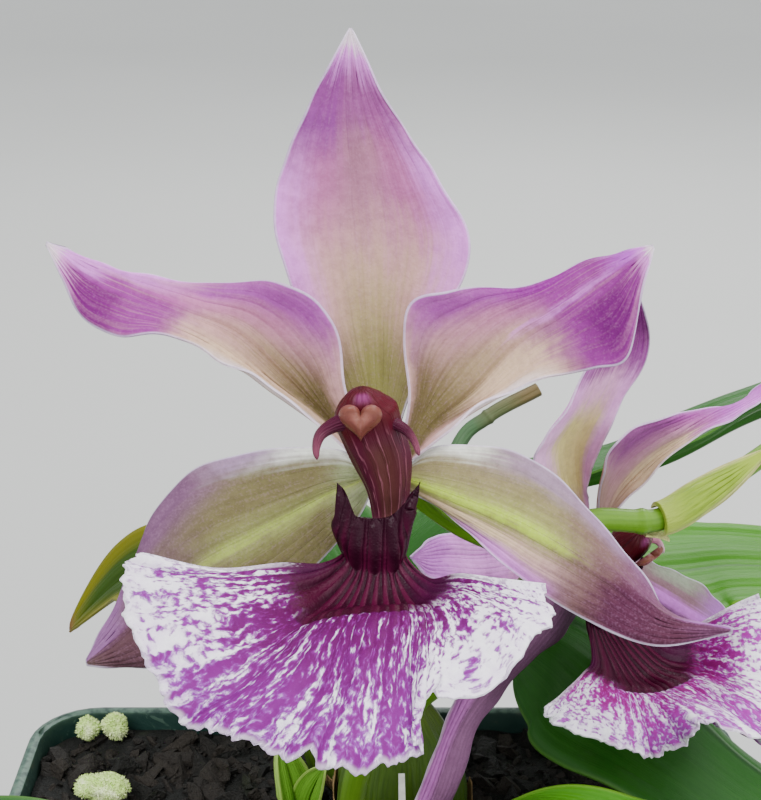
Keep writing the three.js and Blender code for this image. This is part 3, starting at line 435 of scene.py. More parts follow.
class NodeBook(NodeTree):
    """One material's tree, and the few kinds of node that the finishes are written with."""

    def __init__(self, name: str) -> None:
        """Starts an empty tree for a new material."""
        self.material = bpy.data.materials.new(name)
        self.material.use_nodes = True
        super().__init__(self.material.node_tree)
        self.tree.nodes.clear()
        self.place = self.wire("ShaderNodeTexCoord", output="Object")

    def blade(self) -> tuple[Wire, Wire]:
        """The surface coordinates along and across a piece."""
        uv = self.wire("ShaderNodeUVMap", {"uv_map": "blade"})
        split = self.node("ShaderNodeSeparateXYZ", {}, {0: uv})
        return Wire(self, split.outputs[0]), Wire(self, split.outputs[1])

    def mark(self, name: str) -> Wire:
        """A value stored at the mesh's points: edge, in millimetres, or a chip's own draw."""
        return self.wire("ShaderNodeAttribute", {"attribute_name": name}, output="Fac")

    def noise(self, scale: float, detail: float, distortion: float = 0.0, where: Wire | None = None) -> Wire:
        """A cloudy value about 0.5; scale is in lumps for each metre."""
        inputs = {"Vector": where or self.place, "Scale": scale, "Detail": detail, "Distortion": distortion}
        return self.wire("ShaderNodeTexNoise", {}, inputs)

    def noises(self, *scales: tuple[float, float]) -> list[Wire]:
        """Several noises, each given by its scale and detail."""
        return [self.noise(scale, detail) for scale, detail in scales]

    def thread(self, along: Wire, across: Wire, detail: float) -> Wire:
        """A noise in surface coordinates, stretched by how much faster one grows than the other."""
        where = self.wire("ShaderNodeCombineXYZ", {}, {0: along, 1: across, 2: 0.0})
        return self.noise(1.0, detail, where=where)

    def mix(self, share: Wire | float, first: Wire | Colour, second: Wire | Colour,
            blend: str = "MIX") -> Wire:
        """Mixes two colours."""
        settings = {"data_type": "RGBA", "blend_type": blend, "clamp_factor": True}
        return self.wire("ShaderNodeMix", settings, {0: share, 6: first, 7: second}, output=2)

    def paint(self, colour: Wire | Colour, *coats: tuple) -> Wire:
        """Lays coats over a colour, each given by its share, its colour and maybe its blend."""
        for share, *coat in coats:
            colour = self.mix(share, colour, *coat)
        return colour

    def surface(self, colour: Wire, rough: Wire, specular: float, *bumps: tuple) -> bpy.types.Material:
        """Ends the tree in a Principled shader.

        Args:
            colour: the base colour.
            rough: the roughness.
            specular: the specular level, the same all over.
            bumps: from coarse to fine, a height, its distance in metres and maybe its strength.

        Returns:
            The finished material.
        """
        inputs = {"Base Color": colour, "Roughness": rough, "Specular IOR Level": specular}
        for height, distance, *strength in bumps:
            relief = {"Height": height, "Distance": distance, "Strength": strength[0] if strength else 1.0}
            if "Normal" in inputs:
                relief["Normal"] = inputs["Normal"]
            inputs["Normal"] = self.wire("ShaderNodeBump", {}, relief)
        shader = self.wire("ShaderNodeBsdfPrincipled", {}, inputs)
        self.node("ShaderNodeOutputMaterial", {}, {"Surface": shader})
        return self.material


# Finishes


@dataclass(frozen=True)
class Zone:
    """A soft patch of colour on a blade.

    Attributes:
        colour: what it paints.
        along: where it starts and ends from foot (0) to tip (1).
        across: where it starts and ends from the first margin (-1) to the other (1).
        amount: how far it covers.
        soft: how wide its edges fade.
        streaked: how far the veins break it up.
        tilt: how far it slants toward the first margin for each length of the blade.
    """

    colour: Colour
    along: tuple[float, float]
    across: tuple[float, float]
    amount: float
    soft: float
    streaked: float = 0.0
    tilt: float = 0.0

    def share(self, u: Wire, w: Wire, veins: Wire) -> Wire | float:
        """How far the zone covers at surface coordinates u and w."""
        total: Wire | float = self.amount
        if self.tilt:
            w = w + (u - sum(self.along) / 2) * self.tilt
        spans = ((u, self.along, (0, 1), self.soft), (w, self.across, (-1, 1), self.soft * 1.8))
        for value, (first, last), (low, high), soft in spans:
            if first > low:
                total = value.ease(first - soft, first + soft) * total
            if last < high:
                total = value.ease(last + soft, last - soft) * total
        if self.streaked:
            total = total * (1 - veins * self.streaked)
        return total


@dataclass(frozen=True)
class TepalFinish:
    """The velvety skin of a sepal or petal: a ground colour with zones, veins, a pale rim and pale specks
    that are a painted sparkle of light.
    """

    name: str
    ground: Colour
    zones: tuple[Zone, ...]
    vein_amount: float = 0.1
    rim: Colour = rgb(226, 214, 240)
    vein: Colour = rgb(104, 112, 62)
    nap: Colour = rgb(196, 184, 194)
    # bloom is the colour of the pale specks: a painted sparkle of light on the velvet
    bloom: Colour = rgb(226, 170, 214)
    vein_beat: float = 13.0 * 1.57
    rim_wide: float = 0.3

    def material(self) -> bpy.types.Material:
        """Builds the material."""
        book = NodeBook(self.name)
        u, v = book.blade()
        cloud, ragged, grain, pores = book.noises((170, 3), (620, 3), (1500, 2), (3600, 1))
        w = v * 2 - 1
        thread = book.thread(u * 3, w * 17, 3)
        bend = (cloud - 0.5) * 0.2 + (ragged - 0.5) * 0.12 + (thread - 0.5) * 0.3
        veins = abs((w * self.vein_beat + (cloud - 0.5) * 1.6).sine()).ease(0.45, 0.0)
        streaks = thread.ease(0.46, 0.66)
        zoned = [(zone.share(u + bend * 0.4, w + bend, streaks), zone.colour) for zone in self.zones]
        colour = book.paint(
            self.ground, *zoned,
            (veins * u.ease(0.55, 0.2) * self.vein_amount, self.vein),
            (book.mark("edge").ease(self.rim_wide, 0.05) * 0.55, self.rim),
            ((ragged * 0.5 + grain * 0.5).ease(0.4, 0.64) * 0.3, self.nap, "MULTIPLY"),
            # painted sparkle: pale specks stand in for the glints of the velvet
            ((pores * 0.6 + thread * 0.4).ease(0.46, 0.7) * 0.07, self.bloom))
        height = thread * 0.5 + ragged * 0.3 - veins * 0.12
        return book.surface(colour, ragged * 0.16 + 0.5, 0.08, (height, 0.0002), (pores, 0.00007, 0.7))


LILAC = rgb(188, 78, 208)
PALE_LILAC = rgb(218, 128, 224)
ROSE = rgb(182, 98, 156)
MAGENTA = rgb(132, 24, 132)
ORCHID = rgb(152, 62, 154)
VIOLET = rgb(126, 48, 136)
DEEP_MAGENTA = rgb(94, 2, 92)
MAUVE = rgb(114, 76, 112)
PLUM = rgb(74, 28, 56)
PINK_TAN = rgb(156, 98, 130)
PINK_CREAM = rgb(196, 150, 146)
CREAM = rgb(160, 140, 102)
PALE_CREAM = rgb(214, 186, 150)
KHAKI = rgb(106, 98, 64)
# Painted shade: the dark olive of the deep hollow at the foot of the front petals
BASE_SHADE_OLIVE = rgb(88, 78, 42)
YELLOW_GREEN = rgb(114, 112, 56)
PALE = rgb(236, 222, 226)
WHITE_GREEN = rgb(226, 230, 220)
GREY_LILAC = rgb(150, 122, 156)


class TepalSkin(Enum):
    """The skin of each sepal and petal, front bloom first."""

    FRONT_DORSAL = TepalFinish("front_dorsal_skin", PINK_CREAM, (
        Zone(rgb(158, 142, 98), (0, 0.44), (-0.4, 0.36), 0.9, 0.13),
        Zone(YELLOW_GREEN, (0, 0.28), (-1, 1), 0.92, 0.11),
        Zone(PINK_TAN, (0.53, 1), (-1, 1), 0.85, 0.11),
        Zone(ROSE, (0.5, 0.82), (-0.8, -0.3), 0.7, 0.12),
        Zone(ROSE, (0.5, 0.84), (0.25, 0.8), 0.75, 0.12),
        Zone(PALE_LILAC, (0.3, 0.7), (-1, -0.72), 0.9, 0.13),
        Zone(PALE_LILAC, (0.36, 0.8), (0.68, 1), 0.9, 0.12),
        Zone(VIOLET, (0.7, 0.93), (-1, -0.3), 0.85, 0.08, 0.1),
        Zone(rgb(138, 62, 134), (0.77, 0.93), (-1, 1), 0.8, 0.07, 0.1),
        Zone(PALE_LILAC, (0.9, 1), (-1, 1), 0.85, 0.04),
        Zone(PALE, (0.955, 1), (-1, 1), 0.9, 0.03),
    ))
    FRONT_LEFT_PETAL = TepalFinish("front_left_petal_skin", PINK_CREAM, (
        Zone(CREAM, (0, 0.4), (-0.4, 0.4), 0.75, 0.1),
        # painted shade in the hollow at the petal's foot
        Zone(BASE_SHADE_OLIVE, (0, 0.29), (-0.66, 0.3), 0.95, 0.11),
        Zone(PALE_CREAM, (0.1, 0.52), (0.34, 1), 0.85, 0.12),
        Zone(PALE, (0.16, 0.44), (0.78, 1), 0.75, 0.08),
        Zone(ROSE, (0.3, 0.62), (-0.8, -0.3), 0.7, 0.1, 0.0, -0.8),
        Zone(ORCHID, (0.24, 0.62), (-1, -0.62), 0.92, 0.09, 0.1, -0.8),
        Zone(MAGENTA, (0.57, 0.92), (-0.3, 1), 0.92, 0.06, 0.3),
        Zone(ROSE, (0.54, 0.68), (-0.56, -0.1), 0.6, 0.07, 0.2),
        Zone(DEEP_MAGENTA, (0.73, 0.9), (0.2, 1), 0.75, 0.06, 0.1),
        Zone(LILAC, (0.64, 0.9), (-0.9, -0.3), 0.75, 0.08, 0.2),
        # painted sheen: the pale strip along the turned-over upper margin is light painted as colour
        Zone(PALE_LILAC, (0.585, 1), (-1, -0.66), 0.95, 0.05, 0.0, -1.4),
        Zone(PALE_LILAC, (0.82, 1), (-1, 0.1), 0.85, 0.06, 0.1),
        Zone(PALE_LILAC, (0.91, 1), (-1, 1), 0.7, 0.04),
        Zone(PALE, (0.955, 1), (-1, 1), 0.9, 0.03),
    ))
    FRONT_RIGHT_PETAL = TepalFinish("front_right_petal_skin", PINK_CREAM, (
        Zone(CREAM, (0, 0.42), (-0.4, 0.3), 0.85, 0.1),
        # painted shade in the hollow at the petal's foot
        Zone(BASE_SHADE_OLIVE, (0, 0.28), (-0.9, 0.7), 0.95, 0.12),
        Zone(PALE_CREAM, (0.26, 0.47), (0.2, 1), 0.8, 0.08),
        Zone(PALE, (0.18, 0.42), (0.8, 1), 0.75, 0.07),
        Zone(ROSE, (0.36, 0.56), (-0.8, -0.2), 0.7, 0.1, 0.0, -0.7),
        Zone(ORCHID, (0.26, 0.66), (-1, -0.6), 0.92, 0.09, 0.1, -0.7),
        Zone(MAGENTA, (0.5, 0.92), (-1, 1), 0.93, 0.07, 0.2),
        Zone(PALE_LILAC, (0.44, 0.8), (-0.05, 0.04), 0.5, 0.03),
        Zone(DEEP_MAGENTA, (0.6, 0.84), (0.25, 0.9), 0.85, 0.08, 0.1),
        Zone(LILAC, (0.79, 1), (-1, 0), 0.85, 0.07, 0.1),
        Zone(PALE_LILAC, (0.9, 1), (-1, 1), 0.8, 0.04),
        Zone(PALE, (0.96, 1), (-1, 1), 0.9, 0.02),
    ))
    FRONT_LEFT_LATERAL = TepalFinish("front_left_lateral_skin", KHAKI, (
        Zone(rgb(142, 152, 110), (0, 0.14), (-1, 1), 0.9, 0.06),
        Zone(rgb(140, 146, 84), (0, 0.5), (-0.2, 0.24), 0.75, 0.12),
        Zone(rgb(158, 176, 74), (0, 0.58), (-0.03, 0.07), 0.75, 0.05),
        Zone(rgb(104, 82, 84), (0.5, 1), (-1, 1), 0.8, 0.1),
        Zone(MAUVE, (0.44, 0.86), (-1, -0.6), 0.8, 0.1),
        Zone(PLUM, (0.72, 0.96), (-0.2, 1), 0.6, 0.08),
        Zone(rgb(150, 94, 160), (0.8, 1), (-1, -0.1), 0.6, 0.08),
        Zone(WHITE_GREEN, (0.04, 0.33), (-1, -0.8), 0.95, 0.09),
        Zone(GREY_LILAC, (0.3, 0.46), (-1, -0.84), 0.9, 0.07),
    ), vein_amount=0.14)
    FRONT_RIGHT_LATERAL = TepalFinish("front_right_lateral_skin", rgb(134, 124, 86), (
        Zone(rgb(150, 160, 76), (0, 0.58), (-0.3, 0.26), 0.6, 0.14),
        Zone(rgb(176, 204, 60), (0.02, 0.56), (-0.05, 0.1), 0.9, 0.06),
        Zone(PALE_CREAM, (0.1, 0.47), (0.36, 0.6), 0.95, 0.08),
        Zone(PALE_LILAC, (0.28, 0.56), (0.66, 1), 0.9, 0.08),
        Zone(rgb(202, 156, 160), (0.42, 0.58), (0.3, 0.7), 0.7, 0.08),
        Zone(rgb(112, 80, 84), (0.53, 0.8), (-1, 1), 0.8, 0.08),
        Zone(GREY_LILAC, (0.28, 0.8), (-1, -0.7), 0.75, 0.1),
        Zone(PLUM, (0.64, 1), (-0.25, 1), 0.95, 0.09),
        Zone(rgb(110, 62, 98), (0.66, 1), (-1, -0.2), 0.85, 0.09),
        Zone(WHITE_GREEN, (0.03, 0.28), (-1, -0.8), 0.92, 0.08),
        Zone(rgb(170, 96, 186), (0.88, 1), (-1, -0.1), 0.7, 0.05),
        Zone(rgb(104, 62, 94), (0.9, 1), (0, 1), 0.6, 0.05),
    ), vein_amount=0.14)
    SIDE_DORSAL = TepalFinish("side_dorsal_skin", rgb(226, 212, 142), (
        Zone(rgb(184, 138, 156), (0, 0.2), (-1, 1), 0.8, 0.1),
        Zone(rgb(240, 176, 238), (0.2, 0.86), (-1, -0.55), 0.9, 0.12),
        Zone(rgb(240, 176, 238), (0.1, 0.86), (0.55, 1), 0.9, 0.12),
        Zone(rgb(242, 160, 236), (0.66, 0.86), (-1, 1), 0.8, 0.07),
        Zone(MAGENTA, (0.78, 1), (-1, 1), 0.92, 0.05, 0.1),
        Zone(DEEP_MAGENTA, (0.88, 1), (-1, 1), 0.85, 0.05),
    ))
    SIDE_LEFT_PETAL = TepalFinish("side_left_petal_skin", rgb(242, 158, 244), (
        Zone(rgb(208, 176, 150), (0.2, 0.44), (-1, 1), 0.9, 0.07),
        Zone(rgb(156, 146, 86), (0, 0.3), (-1, 1), 0.9, 0.1),
        # painted shade: a darker purple band along the petal's lower edge
        Zone(rgb(176, 98, 178), (0.3, 0.7), (0.7, 1), 0.7, 0.1),
        Zone(rgb(204, 112, 216), (0.7, 1), (-1, 1), 0.8, 0.08, 0.1),
    ))
    SIDE_RIGHT_PETAL = TepalFinish("side_right_petal_skin", rgb(192, 150, 152), (
        Zone(rgb(140, 112, 100), (0, 0.24), (-1, 1), 0.8, 0.1),
        Zone(rgb(222, 198, 156), (0.22, 0.52), (0.2, 1), 0.85, 0.12),
        Zone(rgb(172, 98, 154), (0.28, 0.6), (-0.8, -0.1), 0.8, 0.12),
        Zone(rgb(138, 58, 134), (0.28, 0.6), (-1, -0.5), 0.9, 0.1),
        Zone(rgb(150, 54, 146), (0.53, 0.74), (-1, 1), 0.85, 0.07, 0.15),
        Zone(rgb(190, 80, 204), (0.66, 1), (-1, 1), 0.85, 0.08, 0.1),
        Zone(PALE_LILAC, (0.58, 1), (0.5, 1), 0.7, 0.1),
        Zone(PALE_LILAC, (0.56, 0.8), (-1, -0.84), 0.8, 0.05),
    ))
    SIDE_LEFT_LATERAL = TepalFinish("side_left_lateral_skin", rgb(142, 96, 134), (
        Zone(rgb(164, 132, 120), (0, 0.17), (-1, 1), 0.9, 0.07),
        Zone(rgb(96, 60, 88), (0.17, 0.6), (-0.2, 1), 0.8, 0.1),
        Zone(rgb(194, 110, 192), (0.5, 1), (-1, -0.3), 0.75, 0.1, 0.1),
        Zone(PALE, (0.04, 1), (-1, -0.9), 0.5, 0.04),
    ))
    SIDE_RIGHT_LATERAL = TepalFinish("side_right_lateral_skin", rgb(126, 96, 104), (
        Zone(rgb(138, 106, 90), (0, 0.2), (-1, 1), 0.8, 0.08),
        Zone(rgb(142, 156, 132), (0.4, 0.66), (-1, -0.6), 0.85, 0.08),
        Zone(rgb(196, 106, 208), (0.42, 0.86), (-0.26, 0.12), 0.85, 0.08),
        Zone(rgb(78, 34, 60), (0.3, 0.86), (0.35, 1), 0.85, 0.1),
        Zone(rgb(160, 96, 182), (0.7, 1), (-1, 1), 0.7, 0.08),
    ))


@dataclass(frozen=True)
class LipFinish:
    """The lip's skin: a near-black callus and throat, darkened just inside the crest by painted shade, then
    violet bands that break up into spots.
    """

    name: str
    left_fill: float
    middle_fill: float
    right_fill: float
    dark_violet: Colour = rgb(88, 4, 76)
    violet: Colour = rgb(128, 30, 134)
    halo: Colour = rgb(154, 76, 178)
    haze: Colour = rgb(206, 140, 226)
    nap: Colour = rgb(206, 190, 214)
    white: Colour = rgb(247, 243, 250)
    maroon: Colour = rgb(38, 4, 22)
    ray: Colour = rgb(86, 10, 50)
    # throat: the lip's own dark maroon, and also painted shade where it deepens just inside the crest
    throat: Colour = rgb(58, 2, 32)
    flank: Colour = rgb(66, 14, 54)
    crest: float = 0.667

    def material(self) -> bpy.types.Material:
        """Builds the material."""
        book = NodeBook(self.name)
        u, v = book.blade()
        cloud, ragged, pores = book.noises((240, 3), (1100, 2), (4200, 1))
        turn = v + (cloud - 0.5) * 0.03 + (ragged - 0.5) * 0.008
        middle = v.ease(0.14, 0.26) * v.ease(0.76, 0.64)
        core = v.ease(0.03, 0.14) * v.ease(0.86, 0.74)
        out = (u - self.crest) * (1 / (1 - self.crest))
        fleck = book.thread(turn * 130, u * 52, 3)
        patch = book.thread(turn * 64, u * 22, 3)
        streak = book.thread(turn * 50, u * 5, 2)
        fill = middle * (0.88 - out * 0.24) * self.middle_fill
        fill = fill + v.ease(0.26, 0.14) * (0.86 - out * 0.66) * self.left_fill
        fill = fill + v.ease(0.64, 0.76) * (0.62 - out * 0.46) * self.right_fill
        field = (fleck - 0.5) * 0.95 + (patch - 0.5) * 0.5 + (streak - 0.5) * 0.8 + (fill - 0.48) * 0.42
        cover = field.ease(-0.09, 0.09)
        hazy = (patch * 0.5 + streak * 0.5).ease(0.36, 0.56) * (middle * 0.65 + 0.2)
        pale = book.mix(out.ease(0.1, 0.9) * 0.8, self.violet, self.halo)
        deep = book.mix((out + (cloud - 0.5) * 0.6).ease(0.05, 0.75) * 0.7, self.dark_violet, self.violet)
        outer = book.paint(
            self.white, (hazy, self.haze), (cover, book.mix(field.ease(0.0, 0.22), pale, deep)),
            (book.mark("edge").ease(0.9, 0.1) * 0.5, self.white),
            (ragged.ease(0.4, 0.65) * 0.2, self.nap, "MULTIPLY"))
        ray = (v * 84 + (cloud - 0.5) * 3).beat()
        inner = book.paint(
            self.maroon, (ray * u.ease(0.0, 0.3) * 0.65, self.ray),
            # the throat coat grows darker toward the crest: the lip's own maroon and painted shade under the
            # crest
            (out.ease(-0.8, -0.05) * 0.6, self.throat),
            (out.ease(-1.0, -0.2) * (1 - core) * 0.85, self.flank))
        sharp = out.ease(-0.02, 0.02)
        gentle = (out + (fleck - 0.5) * 0.6).ease(-0.22, 0.12)
        colour = book.mix(sharp * middle + gentle * (1 - middle), inner, outer)
        height = ray * out.ease(0.0, -0.2) * 0.6 + cover * out.ease(-0.1, 0.1) * 0.3 + ragged * 0.3
        rough = out.ease(-0.2, 0.1) * 0.16 + ragged * 0.14 + 0.3
        return book.surface(colour, rough, 0.12, (height, 0.0003), (pores, 0.00008, 0.7))


@dataclass(frozen=True)
class LeafFinish:
    """A leaf's skin: parallel veins, a midrib, a thin margin and a soft gloss."""

    name: str
    blade: Colour
    streak: Colour
    edge: Colour
    midrib: Colour
    edge_wide: float
    edge_amount: float
    tip_dry: float
    rough: float = 0.36
    dry: Colour = rgb(122, 92, 52)

    def material(self) -> bpy.types.Material:
        """Builds the material."""
        book = NodeBook(self.name)
        u, v = book.blade()
        cloud, pores = book.noises((60, 3), (2200, 2))
        lines = (v * 126 + (cloud - 0.5) * 2).beat()
        thread = book.thread(u * 6, v * 150, 3)
        dry = (u + (cloud - 0.5) * 0.04).ease(0.955, 0.99) * self.tip_dry
        colour = book.paint(
            self.blade, (thread.ease(0.35, 0.7) * 0.18, self.streak),
            (cloud.ease(0.45, 0.75) * 0.3, dimmed(self.blade, 0.55)),
            (lines.ease(0.75, 1.0) * 0.06, self.streak),
            (abs(v * 2 - 1).ease(0.05, 0.015) * 0.6, self.midrib),
            (book.mark("edge").ease(self.edge_wide, 0.1) * self.edge_amount, self.edge), (dry, self.dry))
        rough = pores * 0.14 + self.rough + dry * 0.3
        return book.surface(colour, rough, 0.18, (lines * 0.4 + thread * 0.4, 0.00014), (pores, 0.00006, 0.7))


class LeafSkin(Enum):
    """The kinds of leaf skin on the plant."""

    DARK = LeafFinish("leaf_dark_skin", rgb(30, 82, 18), rgb(50, 110, 26), rgb(104, 148, 60),
                      rgb(22, 52, 20), 0.7, 0.3, 0.6)
    BRIGHT = LeafFinish("leaf_bright_skin", rgb(64, 132, 6), rgb(90, 158, 16), rgb(146, 188, 60),
                        rgb(50, 98, 26), 0.7, 0.35, 0.3)
    OLD = LeafFinish("leaf_old_skin", rgb(40, 68, 6), rgb(78, 96, 12), rgb(132, 124, 22),
                     rgb(84, 88, 24), 4.0, 0.6, 1.0, 0.44)
    YOUNG = LeafFinish("leaf_young_skin", rgb(98, 150, 42), rgb(136, 180, 64), rgb(180, 204, 110),
                       rgb(76, 124, 34), 0.5, 0.5, 0.0, 0.4)


@dataclass(frozen=True)
class SkinFinish:
    """A fleshy skin with lengthwise threads, mottling and, where it is marked, a second colour.

    Attributes:
        name: the material's name.
        body: the main colour.
        shade: the darker colour between its threads.
        foot: the colour at its lower end.
        head: the colour at its upper end.
        marked: the colour where the margin value is low, as on sheaths and edges.
        threads: how many threads go round it.
        rough: the least roughness.
        relief: how deep its threads are, in metres.
    """

    name: str
    body: Colour
    shade: Colour
    foot: Colour
    head: Colour
    marked: Colour
    threads: float
    rough: float
    relief: float

    def material(self) -> bpy.types.Material:
        """Builds the material."""
        book = NodeBook(self.name)
        u, v = book.blade()
        cloud, pores = book.noises((140, 3), (1800, 2))
        thread = book.thread(u * 7, v * self.threads, 3)
        mark = book.mark("edge").ease(4.0, 1.0)
        along = u + (cloud - 0.5) * 0.2
        fibre = book.mix(thread.ease(0.4, 0.65) * 0.6, self.marked, dimmed(self.marked, 0.45))
        colour = book.paint(
            self.body, (thread.ease(0.35, 0.7) * 0.6, self.shade),
            (along.ease(0.3, 0.0) * 0.75, self.foot), (along.ease(0.7, 1.0) * 0.75, self.head),
            (cloud.ease(0.55, 0.8) * 0.25, self.shade), (mark, fibre))
        rough = pores * 0.15 + self.rough + mark * 0.25
        return book.surface(colour, rough, 0.28, (thread + mark * thread, self.relief), (pores, 0.00006, 0.7))


class Flesh(Enum):
    """The fleshy skins of the plant."""

    BULB = SkinFinish("bulb_skin", rgb(74, 104, 30), rgb(50, 76, 22), rgb(84, 78, 38), rgb(104, 128, 42),
                      rgb(160, 132, 90), 90.0, 0.34, 0.0003)
    RHIZOME = SkinFinish("rhizome_skin", rgb(88, 94, 44), rgb(52, 48, 26), rgb(80, 64, 38), rgb(108, 120, 54),
                         rgb(140, 112, 72), 40.0, 0.55, 0.0003)
    STEM = SkinFinish("stem_skin", rgb(96, 140, 26), rgb(74, 116, 20), rgb(92, 118, 36), rgb(112, 152, 38),
                      rgb(150, 144, 62), 16.0, 0.34, 0.00012)
    SPIKE = SkinFinish("spike_skin", rgb(66, 98, 62), rgb(46, 72, 42), rgb(80, 92, 48), rgb(112, 84, 52),
                       rgb(150, 122, 82), 18.0, 0.5, 0.0002)
    BRACT = SkinFinish("bract_skin", rgb(134, 160, 34), rgb(102, 128, 22), rgb(150, 168, 60),
                       rgb(150, 168, 50), rgb(204, 204, 130), 44.0, 0.42, 0.00014)
    BUD = SkinFinish("bud_skin", rgb(144, 166, 74), rgb(112, 132, 54), rgb(130, 152, 62), rgb(134, 76, 120),
                     rgb(196, 198, 130), 26.0, 0.4, 0.00014)
    CAP = SkinFinish("cap_skin", rgb(122, 70, 58), rgb(104, 56, 50), rgb(96, 40, 50), rgb(176, 116, 102),
                     rgb(150, 60, 92), 14.0, 0.22, 0.00005)


@dataclass(frozen=True)
class ColumnFinish:
    """The column's waxy maroon skin with pale stripes, a painted highlight on the front of the hood, and its
    rose-pink hooks.
    """

    name: str
    maroon: Colour = rgb(76, 22, 44)
    hood: Colour = rgb(76, 10, 24)
    stripe: Colour = rgb(150, 92, 106)
    middle: Colour = rgb(92, 58, 46)
    # a painted highlight on the front of the hood, just above the cap
    hood_highlight: Colour = rgb(150, 60, 128)
    hook: Colour = rgb(72, 14, 42)
    hook_tip: Colour = rgb(140, 74, 96)

    def material(self) -> bpy.types.Material:
        """Builds the material."""
        book = NodeBook(self.name)
        u, v = book.blade()
        cloud, pores = book.noises((420, 2), (3000, 1))
        fibre = book.thread(u * 3, v * 90, 2)
        lines = (v * 100 + (cloud - 0.5) * 4 + (fibre - 0.5) * 5).beat()
        front = abs(v - 0.25).ease(0.13, 0.03)
        thin = lines.ease(0.84, 1.0) * fibre.ease(0.4, 0.6)
        colour = book.paint(
            self.maroon, (u.ease(0.56, 0.7), self.hood), (front * u.ease(0.66, 0.5) * 0.6, self.middle),
            (thin * u.ease(0.7, 0.56) * 0.75, self.stripe),
            # painted highlight: violet-pink on the front of the hood
            (u.ease(0.86, 0.94) * u.ease(0.99, 0.95) * front * 0.5, self.hood_highlight),
            (book.mark("edge").ease(4.0, 1.0), book.mix(u.ease(0.3, 1.0), self.hook, self.hook_tip)))
        relief = lines * 0.4 + fibre * 0.6
        return book.surface(colour, cloud * 0.16 + 0.26, 0.16, (relief, 0.00014), (pores, 0.00004, 0.6))


@dataclass(frozen=True)
class BarkFinish:
    """Damp bark: each chip has its own brown, with grain, dust and a little algae."""

    name: str = "bark_skin"
    dark: Colour = rgb(16, 17, 14)
    damp: Colour = rgb(31, 27, 23)
    brown: Colour = rgb(36, 31, 25)
    grey: Colour = rgb(52, 52, 45)
    algae: Colour = rgb(52, 62, 32)
    dust: Colour = rgb(74, 68, 56)

    def material(self) -> bpy.types.Material:
        """Builds the material."""
        book = NodeBook(self.name)
        cloud = book.noise(130, 4)
        grain = book.noise(900, 4, 1.5)
        tint = book.mark("chip") * 0.8 + (grain - 0.5) * 0.5
        stops = [(0.0, self.dark), (0.45, self.damp), (0.8, self.brown), (1.0, self.grey)]
        ramp = book.wire("ShaderNodeValToRGB", {"stops": stops}, {0: tint})
        coats = ((cloud.ease(0.6, 0.8) * 0.3, self.algae), (grain.ease(0.62, 0.8) * 0.25, self.dust))
        rough = grain * 0.3 + 0.62
        return book.surface(book.paint(ramp, *coats), rough, 0.3, (cloud, 0.001), (grain, 0.0009, 0.9))


@dataclass(frozen=True)
class MossFinish:
    """Pale stone under a yellow-green fuzz."""

    name: str = "moss_skin"
    stone: Colour = rgb(244, 252, 206)
    moss: Colour = rgb(210, 240, 140)
    tips: Colour = rgb(236, 248, 184)
    shade: Colour = rgb(120, 140, 66)

    def material(self) -> bpy.types.Material:
        """Builds the material."""
        book = NodeBook(self.name)
        cloud, grain = book.noises((420, 3), (2600, 3))
        colour = book.paint(
            self.stone, (cloud.ease(0.3, 0.6), self.moss),
            (book.mark("chip").ease(0.2, 0.9) * 0.7, self.tips), (grain.ease(0.45, 0.85) * 0.3, self.shade))
        return book.surface(colour, grain * 0.2 + 0.75, 0.25, (grain, 0.0004))


@dataclass(frozen=True)
class PlasticFinish:
    """Moulded plastic: a fine satin texture, flow marks, dust, and pale scuffs on its edges that are wear and
    also a painted highlight.
    """

    name: str
    body: Colour
    scuff_and_highlight: Colour
    dust: Colour
    dusty: float
    rough: float = 0.36

    def material(self) -> bpy.types.Material:
        """Builds the material."""
        book = NodeBook(self.name)
        cloud, speck, grain = book.noises((35, 4), (700, 3), (3200, 2))
        scratch = book.noise(240, 4, 2.5)
        # pale scuffs along marked edges: wear, and also a painted highlight on the pot's rim
        wear_and_edge_highlight = book.mark("edge").ease(0.9, 0.2) * speck.ease(0.3, 0.6)
        colour = book.paint(
            self.body, (cloud.ease(0.4, 0.7) * 0.12, self.scuff_and_highlight),
            (scratch.ease(0.62, 0.68) * 0.3, self.scuff_and_highlight), (wear_and_edge_highlight * 0.55, self.scuff_and_highlight),
            (speck.ease(0.58, 0.7) * cloud.ease(0.35, 0.65) * self.dusty, self.dust))
        rough = speck * 0.16 + self.rough + cloud * 0.08
        return book.surface(colour, rough, 0.5, (cloud + scratch * 0.2, 0.0006), (grain, 0.00005, 0.7))


class Plastic(Enum):
    """The two plastics."""

    POT = PlasticFinish("pot_skin", rgb(22, 50, 44), rgb(98, 126, 108), rgb(96, 88, 68), 0.2)
    LABEL = PlasticFinish("label_skin", rgb(232, 232, 226), rgb(206, 206, 198), rgb(150, 136, 110), 0.18, 0.4)
